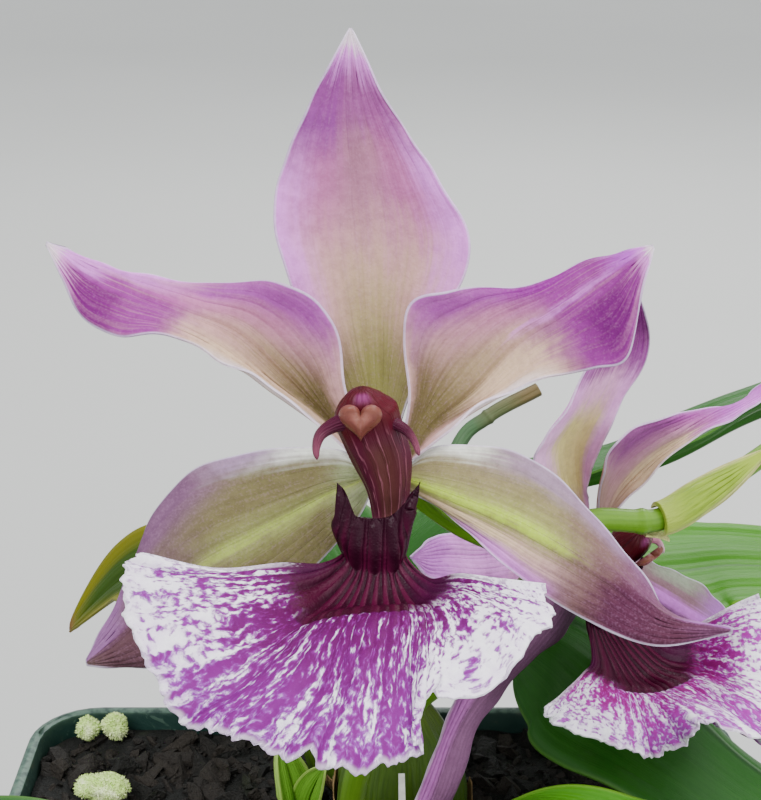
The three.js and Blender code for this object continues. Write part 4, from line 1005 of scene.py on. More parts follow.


# The shapes, with the same points as the solids

# Each tepal has three rails from foot to tip: its first margin, its middle and its other margin
FRONT_TEPALS = {
    "dorsal_sepal": (
        ((-1, 1.2, 2.5), (-4.8, 2.6, 9.3), (-9.4, 3.4, 18.4), (-12.6, 3.2, 27.9), (-11.4, 2.8, 35.6),
         (-8.2, 2, 42.6), (-4, 1, 50.2)),
        ((-0.1, 1.2, 2.6), (-0.9, 3.2, 9.3), (-1.4, 4.8, 18.1), (-1.7, 5.2, 27.3), (-2.6, 4.2, 35.2),
         (-3.6, 2.6, 42.6), (-3.9, 1, 50.2)),
        ((0.9, 1.2, 2.6), (3, 2.6, 9.3), (6.9, 3.4, 17.7), (9.7, 3.2, 26), (5.9, 2.8, 33.9), (1, 2, 40.9),
         (-3.7, 1, 50.2)),
    ),
    "petal_left": (
        ((-1.7, 0.2, 2.9), (-4.2, -0.4, 8.9), (-5.9, -1, 17.1), (-11.1, -1.2, 21.4), (-19.5, 1.8, 21.7),
         (-27.8, 3, 22.5), (-33, 1.5, 24.3), (-37.5, -1.5, 26)),
        ((-2.3, 0.2, 2.2), (-6.7, 1.8, 6.4), (-11.9, 2.6, 11.2), (-16.9, 1.5, 15.7), (-22.4, 0, 18.1),
         (-28.6, 0.5, 20.5), (-33.4, 0, 22.7), (-37.6, -1.5, 25.8)),
        ((-3, 0.2, 1.6), (-7.5, 0.4, 5.7), (-12.9, 0.2, 9.9), (-18.2, -0.6, 13), (-23.6, -2, 15.4),
         (-29.5, -2.5, 15.6), (-33.9, -2.2, 18.1), (-37.6, -1.5, 25.6)),
    ),
    "petal_right": (
        ((1.7, 0.2, 2.9), (2.7, -0.4, 8.9), (2.3, -1, 18.4), (7.4, -1.2, 20.7), (15.7, 0.5, 21.2),
         (22.2, 1.5, 23.6), (26.3, 0.5, 25), (29.6, -2, 25.6)),
        ((2.4, 0.2, 2.2), (4.9, 1.8, 6.1), (9.2, 2.6, 10.1), (14.3, 1.5, 15.4), (19.6, 0, 18.7),
         (23.7, -0.5, 21.5), (27, -1.2, 23.5), (29.7, -2, 25.4)),
        ((3, 0.2, 1.6), (6.6, 0.4, 4.4), (12, 0.2, 8.5), (17.8, -0.6, 10.9), (23.2, -2, 11.8),
         (26.7, -3, 13.1), (28.1, -2.8, 19.4), (29.8, -2, 25.1)),
    ),
    "lateral_sepal_left": (
        ((-2.1, 1, 0.7), (-5.3, 2, 2.8), (-13.6, 2.4, 2.8), (-21.5, 2.6, 0.5), (-27, 2.2, -5.9),
         (-29.9, 1.2, -13.9), (-33.2, -1, -20.4)),
        ((-1.7, 1, -0.3), (-6.7, 0.6, -2.3), (-14.2, 0.2, -6.3), (-20.7, -0.2, -9.7), (-25.6, -0.6, -13.9),
         (-29.2, -1, -17.9), (-33.2, -1.2, -20.8)),
        ((-1.2, 1, -1.4), (-3.6, 0.8, -5.7), (-10.7, 1, -13), (-16.5, 1.2, -18), (-21.9, 0.8, -20.8),
         (-27.3, -0.4, -21.6), (-33.1, -1.2, -21.1)),
    ),
    "lateral_sepal_right": (
        ((2.1, 1, 0.7), (5.9, 2, 3.2), (14.2, 2.4, 2.7), (21.1, 2.2, -1.8), (27.1, 1.6, -8.9),
         (32.2, 1, -15.7), (38.7, -1, -16.9)),
        ((1.7, 1, -0.3), (5.5, 0.6, -1.6), (12.3, 0.2, -4.1), (19.1, -0.4, -7.6), (25.2, -1, -11.6),
         (31.1, -1.4, -16), (38.6, -1.2, -17.2)),
        ((1.2, 1, -1.4), (5.3, 0.8, -3.2), (10, 0.6, -7), (16.2, -0.4, -12.3), (22.7, -1.6, -16.2),
         (30, -2.4, -18.8), (38.6, -1.2, -17.5)),
    ),
}
SIDE_TEPALS = {
    "dorsal_sepal": (
        ((-1, 1.2, 2.5), (-4.2, 2.6, 7.5), (-8.6, 3.4, 13.5), (-9.7, 2.8, 19.2), (-6.6, 2.1, 23.4),
         (-1.4, 1.6, 30.5), (5.1, 0.5, 39.3)),
        ((-0.1, 1.2, 2.6), (0.2, 3.4, 6), (0.2, 4.8, 10.5), (0.2, 5.2, 15), (2.6, 4, 21), (4.9, 2.4, 29),
         (5.6, 0.5, 39.1)),
        ((0.9, 1.2, 2.6), (2.6, 2.8, 4.5), (2.8, 3.4, 8), (4.4, 3.2, 12.2), (8.1, 2.8, 19),
         (11.4, 1.6, 26.5), (6, 0.5, 39)),
    ),
    "petal_left": (
        ((-1.7, 0.2, 2.9), (-4.5, -0.2, 5.5), (-10.4, -0.8, 9.6), (-17.1, -0.6, 13), (-22, 1, 14.4),
         (-26.7, 2.4, 16.2), (-31.5, 1.2, 18.6), (-36.7, -1, 20.4)),
        ((-2.3, 0.2, 2.2), (-4.6, 1.2, 2.6), (-9, 2, 4.4), (-14.8, 1.2, 7.2), (-22.6, 0, 11.4),
         (-28.5, 0.4, 14.8), (-32.6, 0, 17.2), (-36.7, -1, 20.3)),
        ((-3, 0.2, 1.6), (-5.2, 0.4, 0.6), (-9.6, 0, 1.8), (-16.7, -0.8, 4.4), (-25, -2, 9.4),
         (-31.1, -2.4, 13.8), (-34.4, -2, 16.2), (-36.6, -1, 20.1)),
    ),
    "petal_right": (
        ((1.7, 0.2, 2.9), (0.6, -0.3, 8.4), (-0.1, -1.2, 14.3), (2, -1.8, 18.2), (10, -1.2, 17.2),
         (21.3, -1.1, 13.4), (27.6, -3.3, 12.2), (30.1, -5, 15.2), (31.3, -7.5, 18.9)),
        ((2.4, 0.2, 2.2), (4.3, 1.6, 3.6), (7.6, 2, 6.6), (10.6, 0.4, 10.4), (15.1, -1.6, 12.7),
         (21.4, -3.2, 12.9), (25.4, -5, 13.9), (29.2, -6, 15.1), (31.4, -7.5, 18.7)),
        ((3, 0.2, 1.6), (4.9, 0.4, 2.4), (8.1, -0.4, 4.9), (11.7, -1.6, 8.2), (16.1, -3.6, 11.5),
         (20.7, -5.4, 13.4), (24.3, -6.6, 14.2), (28.3, -7.2, 15), (31.7, -7.5, 18.4)),
    ),
    "lateral_sepal_left": (
        ((-2.1, 1, 0.7), (-4, 2, -2), (-9.2, 2.4, -3.2), (-16.9, 2.6, -6.5), (-22.7, 2.3, -10.9),
         (-28.4, 0.9, -17.3), (-34.7, -0.5, -23.4), (-39.5, -1.8, -28.8)),
        ((-1.7, 1, -0.3), (-2.8, 0.6, -4.4), (-7, 0.2, -7.4), (-13.8, -0.2, -9.8), (-20.4, -0.6, -12),
         (-26.4, -0.6, -16.4), (-32.5, -2.1, -23.9), (-39.5, -2, -29.5)),
        ((-1.2, 1, -1.4), (-0.6, 0.8, -6.5), (-0.5, 1, -12.5), (-4.8, 1.2, -15.4), (-12.8, 0.9, -15.9),
         (-21.5, -0.1, -18.8), (-28.8, -2.3, -26.4), (-39.3, -2, -30.2)),
    ),
    "lateral_sepal_right": (
        ((2.1, 1, 0.7), (7, 2, -4), (13.9, 1, -11.1), (19.6, -1, -15.3), (24.3, -4, -20.1),
         (26.3, -7.5, -23.6), (28.8, -11, -28.7)),
        ((1.7, 1, -0.3), (4.4, 0.6, -4.6), (9.2, -0.8, -10.9), (14, -3.2, -16.2), (18.3, -6.4, -20.8),
         (22.4, -9, -24.6), (28.5, -11.3, -28.9)),
        ((1.2, 1, -1.4), (2.9, 0.8, -6.5), (7.3, -0.4, -13.9), (12.6, -2.6, -20), (17.1, -6.4, -24.6),
         (21.6, -9.4, -27.2), (28.2, -11.6, -29.1)),
    ),
}

# Each lip is a fan of rays, from the raised callus down over the throat and crest to the margin
CALLUS = (
    ((-5.2, -6.4, -0.5), (-5.2, -6, -4.6), (-4.3, -4, -7.8)),
    ((-4.3, -6.3, -1.5), (-5, -5.9, -5.4), (-4.4, -4.2, -8.7)),
    ((-3.4, -5.9, -3.9), (-3.7, -5.7, -6.9), (-3.5, -4.6, -10)),
    ((-2.5, -5.8, -4.3), (-2.7, -5.6, -7.3), (-2.7, -4.8, -10.5)),
    ((-1.5, -5.7, -4.4), (-1.6, -5.6, -7.6), (-1.8, -5, -10.7)),
    ((-0.4, -5.7, -4.4), (-0.6, -5.6, -7.7), (-0.7, -5, -10.8)),
    ((0.5, -5.8, -4.2), (0.5, -5.6, -7.6), (0.4, -5, -10.7)),
    ((1.3, -5.9, -3.6), (1.2, -5.7, -7.1), (1.1, -4.8, -10.4)),
    ((3, -6.3, -1.8), (2.1, -5.9, -5.6), (1.9, -4.4, -9.2)),
    ((3.8, -6.4, -0.4), (2.4, -6, -4.5), (2.2, -4.2, -8.3)),
)
FRONT_LIP = (
    ((-6.8, -6, -9.2), (-11.2, -8.5, -9), (-18.2, -11, -9.5), (-25.7, -11.5, -8)),
    ((-7.2, -6.8, -10.8), (-11.1, -10, -11.5), (-18.9, -13.5, -11.6), (-27.4, -14, -10.9)),
    ((-6.1, -7.6, -13.3), (-9.1, -12.5, -15), (-15.4, -19, -17.8), (-22.7, -20.5, -20.7)),
    ((-4.6, -8, -13.9), (-6.6, -13.5, -14.5), (-11.3, -21.5, -19.4), (-17, -23.5, -24.2)),
    ((-2.9, -8.2, -14.1), (-3.7, -14.2, -13.9), (-6.6, -23, -20.1), (-10.7, -26, -25.6)),
    ((-0.9, -8.2, -14.2), (-0.7, -14.6, -13.6), (-2.3, -24, -20.4), (-3.9, -28, -27.5)),
    ((1.2, -8.2, -14.1), (2.3, -14.2, -13.5), (2.2, -23.5, -20), (2.7, -27, -25.5)),
    ((3.1, -8, -13.7), (4.6, -13.2, -13.5), (5.1, -21.5, -17.6), (3.8, -24.5, -20.6)),
    ((4.8, -7, -11.9), (7.5, -10.5, -11.9), (12.1, -15, -13.4), (16, -17, -15.4)),
    ((4.8, -6.4, -10.8), (8, -9, -10.1), (12.3, -12, -10.4), (16.9, -13, -10.8)),
)
SIDE_LIP = (
    ((-8.1, -8, -10.4), (-11.9, -9.5, -9.5), (-19.2, -12, -6.4), (-25.6, -14, -3.8)),
    ((-7.5, -8.5, -11.2), (-12, -10.5, -9.8), (-19.1, -13.5, -7.2), (-24.7, -15.5, -5.5)),
    ((-4.7, -9.5, -14.3), (-7.9, -13, -13.1), (-12.1, -17.5, -13.3), (-14.2, -20, -15.2)),
    ((-2.5, -10, -15.8), (-5.2, -14.5, -14.6), (-9.1, -20.5, -13.2), (-9.9, -24, -15.1)),
    ((-0.3, -10.5, -17.2), (-1.9, -15.5, -15.9), (-6.3, -23, -10.4), (-8.6, -28, -7.2)),
    ((1.4, -11, -17.1), (0.7, -16.5, -15.9), (-2, -25, -12.8), (-1.5, -32, -14.6)),
    ((3.2, -11, -17.4), (4.2, -16.5, -16.8), (0.9, -26, -11.9), (2.8, -33.5, -14.9)),
    ((5.3, -10.5, -17.8), (8.1, -15.5, -18), (4.6, -25, -11.8), (7.7, -31, -14.2)),
    ((7.3, -9, -16.6), (12.1, -12, -17.2), (13.6, -18, -12.7), (18, -22, -12.5)),
    ((7.8, -8, -16.2), (12, -10.5, -15.7), (14.6, -14, -11.7), (18.1, -17, -8.9)),
)

COLUMN_PATH = (
    (0, -3.7, -7.6), (0.5, -2.4, -4.4), (0.4, -3.2, -1.2), (-0.2, -4.8, 1.9), (-1.2, -6.6, 4.6),
    (-2.1, -8.2, 7.1), (-2.4, -9.2, 8.6), (-2.5, -9.8, 9.7),
)
COLUMN_HALF_WIDTHS = (1.4, 1.9, 2.4, 3.2, 3.4, 3.6, 2.2, 0.8)
COLUMN_HALF_DEPTHS = (0.8, 1.3, 2, 2.3, 2.5, 2.6, 2.1, 0.8)
COLUMN_ROOT = ((0.1, -2.6, 0.5), (0, -0.4, 0.6), (0, 1.7, 0.6))
HOOKS = (
    ((-3.5, -8.6, 6.2), (-5.3, -9.3, 5.8), (-6.8, -9.9, 4.8), (-7.3, -10.2, 3.4), (-7.2, -10.4, 2.1)),
    ((0.9, -8.4, 6), (2.2, -9, 5.2), (3.1, -9.4, 4), (3.6, -9.7, 2.5)),
)
HOOK_RADII = (1.05, 0.7)
STEM_PATH = (
    (-5, 3, 82), (-5, 2.5, 96), (-4.5, 2, 112), (-3, 1.5, 124), (1.5, 0, 132.5), (7.9, -3.5, 140.7),
    (13.5, -7.7, 149.6), (18.2, -10.2, 157.3), (21.8, -10.1, 163.5), (26.7, -6.7, 165.3),
    (35.2, -4.9, 164.6), (41.2, -1.6, 166.4), (48.6, 2.7, 169.4), (61, 9, 176), (73, 15, 185), (82, 19, 194),
)
FRONT_STALK = (
    (19.6, -10, 159.6), (15.5, -13.5, 164.5), (9.5, -18.5, 169.8), (5, -20.8, 174.5), (1.6, -22.6, 178.2),
)
SIDE_STALK = (
    (14.9, -8.5, 151.9), (17.8, -2.5, 150.8), (20.4, 3, 150.6), (22.2, 7, 151.2), (22.5, 11.6, 152.6),
    (26.2, 14.9, 153.6),
)
BUD_STALK = ((70.5, 13.6, 183), (74.2, 9.8, 187), (77, 6, 192))
OLD_SPIKE = ((8, 47, 86), (7.4, 50, 104), (5.6, 58.5, 122), (13, 74, 142), (19, 78, 147.5), (28, 80, 152))
RHIZOME_PATH = ((30, -36), (26, -30), (12, -9), (10, 5), (3, 17), (-4, 38), (-7, 45))
SIDE_SHOOT = ((12, -9), (-1, -16), (-14, -22), (-21, -25))
SHOOT_PATH = ((-12.4, 25, 87), (-12.4, 25, 94), (-12.4, 25, 102))
SEAT_PROFILE = np.array([(4.4, 1.2), (4.3, 1.76), (3.6, 2.3), (2.6, 3.0), (2.2, 3.15), (2.0, 2.9)])
BULB_PROFILE = ((0.5, 0), (0.82, 0.12), (1, 0.38), (0.88, 0.66), (0.62, 0.86), (0.38, 1))


def seat(piece: bpy.types.Object, slot: str, *nodes: str) -> None:
    """Joins a finished piece to the body, in place of its CAD nodes.

    Args:
        piece: the finished object.
        slot: the name of a material slot; it is not used.
        nodes: the CAD nodes that it stands for.
    """
    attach(piece, BODY)
    if nodes:
        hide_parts(*nodes)
    LOG.info("%s: %d faces", piece.name, len(piece.data.polygons))


def square_ring(half: float, z: float, corner: float, count: int = 192) -> np.ndarray:
    """Gives evenly spaced points round a square with round corners, at height z."""
    quarter = np.linspace(0, np.pi / 2, 9)
    outline = []
    for turn, (sx, sy) in enumerate(((1, 1), (-1, 1), (-1, -1), (1, -1))):
        angle = quarter + turn * np.pi / 2
        x = sx * (half - corner) + corner * np.cos(angle)
        outline.append(np.stack([x, sy * (half - corner) + corner * np.sin(angle)], axis=1))
    line = np.concatenate([*outline, outline[0][:1]])
    far = walked(line)
    at = np.arange(count) / count * far[-1]
    return np.stack([*(np.interp(at, far, line[:, axis]) for axis in (0, 1)), np.full(count, z)], axis=1)


def pot_half_at(z: float) -> float:
    """The half width of the pot's outside at height z."""
    return POT_FOOT_HALF + (POT_TOP_HALF - POT_FOOT_HALF) * z / RIM_FOOT


class Scatter(NodeTree):
    """A geometry tree that strews small shapes over a surface, thickest where it is marked free."""

    INPUTS = {"Geometry": "Geometry", "First": "Object", "Second": "Object", "Density": "Float",
              "Smallest": "Float", "Largest": "Float", "Seed": "Int", "Material": "Material"}

    def __init__(self, name: str, aligned: bool) -> None:
        """Builds the tree.

        Args:
            name: the tree's name.
            aligned: whether the shapes stand on the surface, or lie at any angle.
        """
        super().__init__(bpy.data.node_groups.new(name, "GeometryNodeTree"))
        panel = self.tree.interface
        self.keys = [panel.new_socket(name=label, in_out="INPUT", socket_type=f"NodeSocket{kind}").identifier
                     for label, kind in self.INPUTS.items()]
        panel.new_socket(name="Geometry", in_out="OUTPUT", socket_type="NodeSocketGeometry")
        entry = self.node("NodeGroupInput")
        given = {label: Wire(self, entry.outputs[label]) for label in self.INPUTS}
        free = self.wire("GeometryNodeInputNamedAttribute", {"data_type": "FLOAT"}, {"Name": "free"})
        points = self.node("GeometryNodeDistributePointsOnFaces", {"distribute_method": "RANDOM"}, {
            "Mesh": given["Geometry"], "Density": given["Density"] * free, "Seed": given["Seed"]})
        shapes = self.node("GeometryNodeJoinGeometry")
        for label in ("First", "Second"):
            inputs = {"Object": given[label], "As Instance": True}
            source = self.wire("GeometryNodeObjectInfo", {}, inputs, output="Geometry")
            self.tree.links.new(source.socket, shapes.inputs[0])
        if aligned:
            turned = Wire(self, points.outputs["Rotation"])
        else:
            turned = self.random("FLOAT_VECTOR", (0.0, 0.0, 0.0), (6.28, 0.7, 6.28), given["Seed"] + 1)
        size = self.random("FLOAT", given["Smallest"], given["Largest"], given["Seed"] + 2)
        strewn = self.wire("GeometryNodeInstanceOnPoints", {}, {
            "Points": Wire(self, points.outputs["Points"]), "Instance": Wire(self, shapes.outputs[0]),
            "Pick Instance": True, "Rotation": turned, "Scale": size})
        tint = self.random("FLOAT", 0.0, 1.0, given["Seed"] + 3)
        tinted = self.wire("GeometryNodeStoreNamedAttribute", {"data_type": "FLOAT", "domain": "INSTANCE"}, {
            "Geometry": strewn, "Name": "chip", "Value": tint})
        real = self.wire("GeometryNodeRealizeInstances", {}, {"Geometry": tinted})
        dressed = self.wire("GeometryNodeSetMaterial", {}, {"Geometry": real, "Material": given["Material"]})
        self.node("NodeGroupOutput", {}, {"Geometry": dressed})

    def random(self, kind: str, low: Wire | float | tuple, high: Wire | float | tuple, seed: Wire) -> Wire:
        """Adds a Random Value node of one data type."""
        made = self.node("FunctionNodeRandomValue", {"data_type": kind}, {"Seed": seed})
        live = [socket for socket in made.inputs if socket.enabled and socket.name in ("Min", "Max")]
        for socket, value in zip(live, (low, high)):
            if isinstance(value, Wire):
                self.tree.links.new(value.socket, socket)
            else:
                socket.default_value = value
        return next(Wire(self, socket) for socket in made.outputs if socket.enabled)

    def strew(self, ground: bpy.types.Object, shapes: list[bpy.types.Object], density: float,
              sizes: tuple[float, float], seed: int, material: bpy.types.Material) -> bpy.types.Mesh:
        """Strews two shapes over a ground and returns them as one plain mesh."""
        modifier = ground.modifiers.new("strew", "NODES")
        modifier.node_group = self.tree
        for key, value in zip(self.keys[1:], (*shapes, density, *sizes, seed, material)):
            modifier[key] = value
        mesh = shown_mesh(ground)
        ground.modifiers.remove(modifier)
        return mesh


def shown_mesh(thing: bpy.types.Object) -> bpy.types.Mesh:
    """Gives a plain mesh of what an object's modifiers make of it."""
    graph = bpy.context.evaluated_depsgraph_get()
    graph.update()
    return bpy.data.meshes.new_from_object(thing.evaluated_get(graph), depsgraph=graph)


def pebble(name: str, spread: Point, seed: int, corners: int) -> bpy.types.Object:
    """Makes a small angular shape: the hull of a few seeded points, in millimetres."""
    rng = np.random.default_rng(seed)
    body = bmesh.new()
    for point in unit(rng.normal(size=(corners, 3))) * rng.uniform(0.8, 1.1, (corners, 1)) * spread * MM:
        body.verts.new(point)
    hull = bmesh.ops.convex_hull(body, input=body.verts)
    spare = set(hull["geom_unused"]) | set(hull["geom_interior"])
    bmesh.ops.delete(body, geom=list(spare), context="VERTS")
    bmesh.ops.recalc_face_normals(body, faces=body.faces)
    return made_from(name, body)


def join_meshes(name: str, meshes: list[bpy.types.Mesh], material: bpy.types.Material) -> bpy.types.Object:
    """Joins meshes to one object with one material."""
    body = bmesh.new()
    for mesh in meshes:
        body.from_mesh(mesh)
    joined = made_from(name, body)
    joined.data.materials.clear()
    joined.data.materials.append(material)
    joined.data.polygons.foreach_set("material_index", np.zeros(len(joined.data.polygons), np.int32))
    return joined


def discard(*things: bpy.types.Object) -> None:
    """Deletes helper objects and their meshes."""
    for thing in things:
        mesh = thing.data
        bpy.data.objects.remove(thing)
        bpy.data.meshes.remove(mesh)


@dataclass
class Stage:
    """The floor, the soft lights and the photograph's viewpoint.

    Attributes:
        eye: where the photograph is taken from.
        dip: how far the view looks down, in degrees.
        focal_pixels: the focal length in the photograph's pixels.
        photo_tall: the photograph's height in pixels.
        sensor: the camera's sensor size.
        floor_half: half the floor's width.
        aim: what the lamps look at.
        lamp_wide: how wide each lamp is, in metres.
        lamps: for each lamp its name, place, power and tint.
        sun_way: the way that the sun shines.
        sun_power: how bright it is.
        sun_wide: how wide it looks, in radians.
        sky: the colour of the light from all round.
        sky_power: how bright that is.
    """

    eye: Point = (0, -203.1, 253.0)
    dip: float = 20.0
    focal_pixels: float = 1700.0
    photo_tall: int = 800
    sensor: float = 36.0
    floor_half: float = 2600.0
    aim: Point = (0, 0, 150)
    lamp_wide: float = 0.8
    lamps: tuple[tuple[str, Point, float, Point], ...] = (
        ("fill", (600, -600, 420), 4.0, (0.97, 0.98, 1.0)), ("side", (520, -60, 900), 6.0, (1, 1, 1)),
        ("back", (200, 800, 800), 8.0, (1, 1, 1)))
    sun_way: Point = (0.45, 0.85, -1.15)
    sun_power: float = 3.2
    sun_wide: float = 0.6
    sky: Colour = (0.92, 0.95, 1.0, 1.0)
    sky_power: float = 0.8

    def make_camera(self) -> None:
        """Sets the camera at the photograph's viewing angle."""
        data = bpy.data.cameras.new("camera")
        data.sensor_width = self.sensor
        data.lens = self.sensor * self.focal_pixels / self.photo_tall
        data.clip_start = 0.01
        camera = make_object("camera", data)
        camera.location = Vector(self.eye) * MM
        camera.rotation_euler = (math.radians(90 - self.dip), 0, 0)
        bpy.context.scene.camera = camera

    def make_floor(self) -> None:
        """Lays the plain pale floor under the pot."""
        book = NodeBook("floor_surface")
        cloud = book.noise(3.0, 2)
        colour = book.mix(cloud, rgb(172, 173, 170), rgb(180, 181, 178))
        half = self.floor_half * MM
        mesh = bpy.data.meshes.new("floor")
        mesh.from_pydata([(-half, -half, 0), (half, -half, 0), (half, half, 0), (-half, half, 0)], [],
                         [(0, 1, 2, 3)])
        mesh.materials.append(book.surface(colour, 0.85 - cloud * 0.1, 0.5, (cloud, 0.0004)))
        make_object("floor", mesh)

    def make_lights(self) -> None:
        """Makes the broad sun and the soft lamps that look at the plant."""
        sun = bpy.data.lights.new("key", "SUN")
        sun.energy = self.sun_power
        sun.angle = self.sun_wide
        self.point_at(make_object("key", sun), Vector(self.sun_way))
        for name, place, power, tint in self.lamps:
            data = bpy.data.lights.new(name, "AREA")
            data.shape = "DISK"
            data.size = self.lamp_wide
            data.energy = power
            data.color = tint
            lamp = make_object(name, data)
            lamp.location = Vector(place) * MM
            self.point_at(lamp, Vector(self.aim) - Vector(place))

    @staticmethod
    def point_at(light: bpy.types.Object, way: Vector) -> None:
        """Turns a light to shine along a way."""
        light.rotation_euler = way.to_track_quat("-Z", "Y").to_euler()

    def build(self) -> None:
        """Makes the whole stage."""
        self.make_camera()
        self.make_floor()
        self.make_lights()
        world = bpy.data.worlds.new("soft_room")
        world.use_nodes = True
        background = world.node_tree.nodes["Background"].inputs
        background["Color"].default_value = self.sky
        background["Strength"].default_value = self.sky_power
        bpy.context.scene.world = world


class Pot:
    """The square nursery pot and the blank label."""

    def build(self) -> None:
        """Makes the pot with soft edges and its four drain holes, and dresses the label."""
        foot, inner, top = POT_FOOT_HALF, RIM_HALF - POT_WALL, POT_HEIGHT
        small, corner, large = POT_CORNER - POT_WALL, POT_CORNER, POT_CORNER + 2
        profile = [  # half width, height, corner radius and nearness to an edge that gets wear and a painted highlight
            (foot - 1.0, 0.0, corner - 1, 1.0), (foot - 0.25, 0.25, corner, 0.2),
            (pot_half_at(1.0), 1.0, corner, 1.5), (pot_half_at(46), 46.0, corner, INSIDE),
            (pot_half_at(RIM_FOOT - 0.6), RIM_FOOT - 0.6, corner, INSIDE),
            (POT_TOP_HALF + 0.5, RIM_FOOT, corner, 3.0), (RIM_HALF - 0.5, RIM_FOOT + 0.7, large, 0.4),
            (RIM_HALF, RIM_FOOT + 1.3, large, 0.9), (RIM_HALF, top - 0.9, large, 0.9),
            (RIM_HALF - 0.25, top - 0.25, large, 0.1), (RIM_HALF - 0.9, top, large, 0.1),
            (inner + 0.9, top, corner, 0.2), (inner + 0.2, top - 0.3, corner, 0.4),
            (inner, top - 1.0, corner, 1.2), (inner, RIM_FOOT + 2, corner, INSIDE),
            (pot_half_at(RIM_FOOT) - POT_WALL, RIM_FOOT, small, INSIDE),
            (pot_half_at(POT_FLOOR) - POT_WALL, POT_FLOOR, small, INSIDE),
        ]
        rings = np.stack([square_ring(half, z, radius) for half, z, radius, _ in profile])
        near = np.repeat([row[-1] for row in profile], rings.shape[1])
        skin = Skin("pot_shell")
        skin.add_rings(rings, np.append(near, [INSIDE, INSIDE]))
        shell = skin.finish(Plastic.POT.value.material())
        shell.data.set_sharp_from_angle(angle=math.radians(50))
        drains = self.drains()
        cut = shell.modifiers.new("drains", "BOOLEAN")
        cut.operation = "DIFFERENCE"
        cut.object = drains
        mesh = shown_mesh(shell)
        shell.modifiers.remove(cut)
        shell.data = mesh
        discard(drains)
        seat(shell, "pot_plastic", "pot")
        material = Plastic.LABEL.value.material()
        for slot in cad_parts["plant_label"].material_slots:
            slot.material = material

    @staticmethod
    def drains() -> bpy.types.Object:
        """Makes the four plugs that cut the drain holes."""
        body = bmesh.new()
        radius = DRAIN_RADIUS * MM
        for sx, sy in ((1, 1), (1, -1), (-1, 1), (-1, -1)):
            place = Matrix.Translation(Vector((sx * DRAIN_OUT, sy * DRAIN_OUT, 0)) * MM)
            bmesh.ops.create_cone(body, cap_ends=True, segments=40, radius1=radius, radius2=radius,
                                  depth=4 * POT_FLOOR * MM, matrix=place)
        return made_from("drain_plugs", body)


@dataclass
class Lump:
    """A pale lump under moss."""

    name: str
    middle: tuple[float, float]
    size: Point


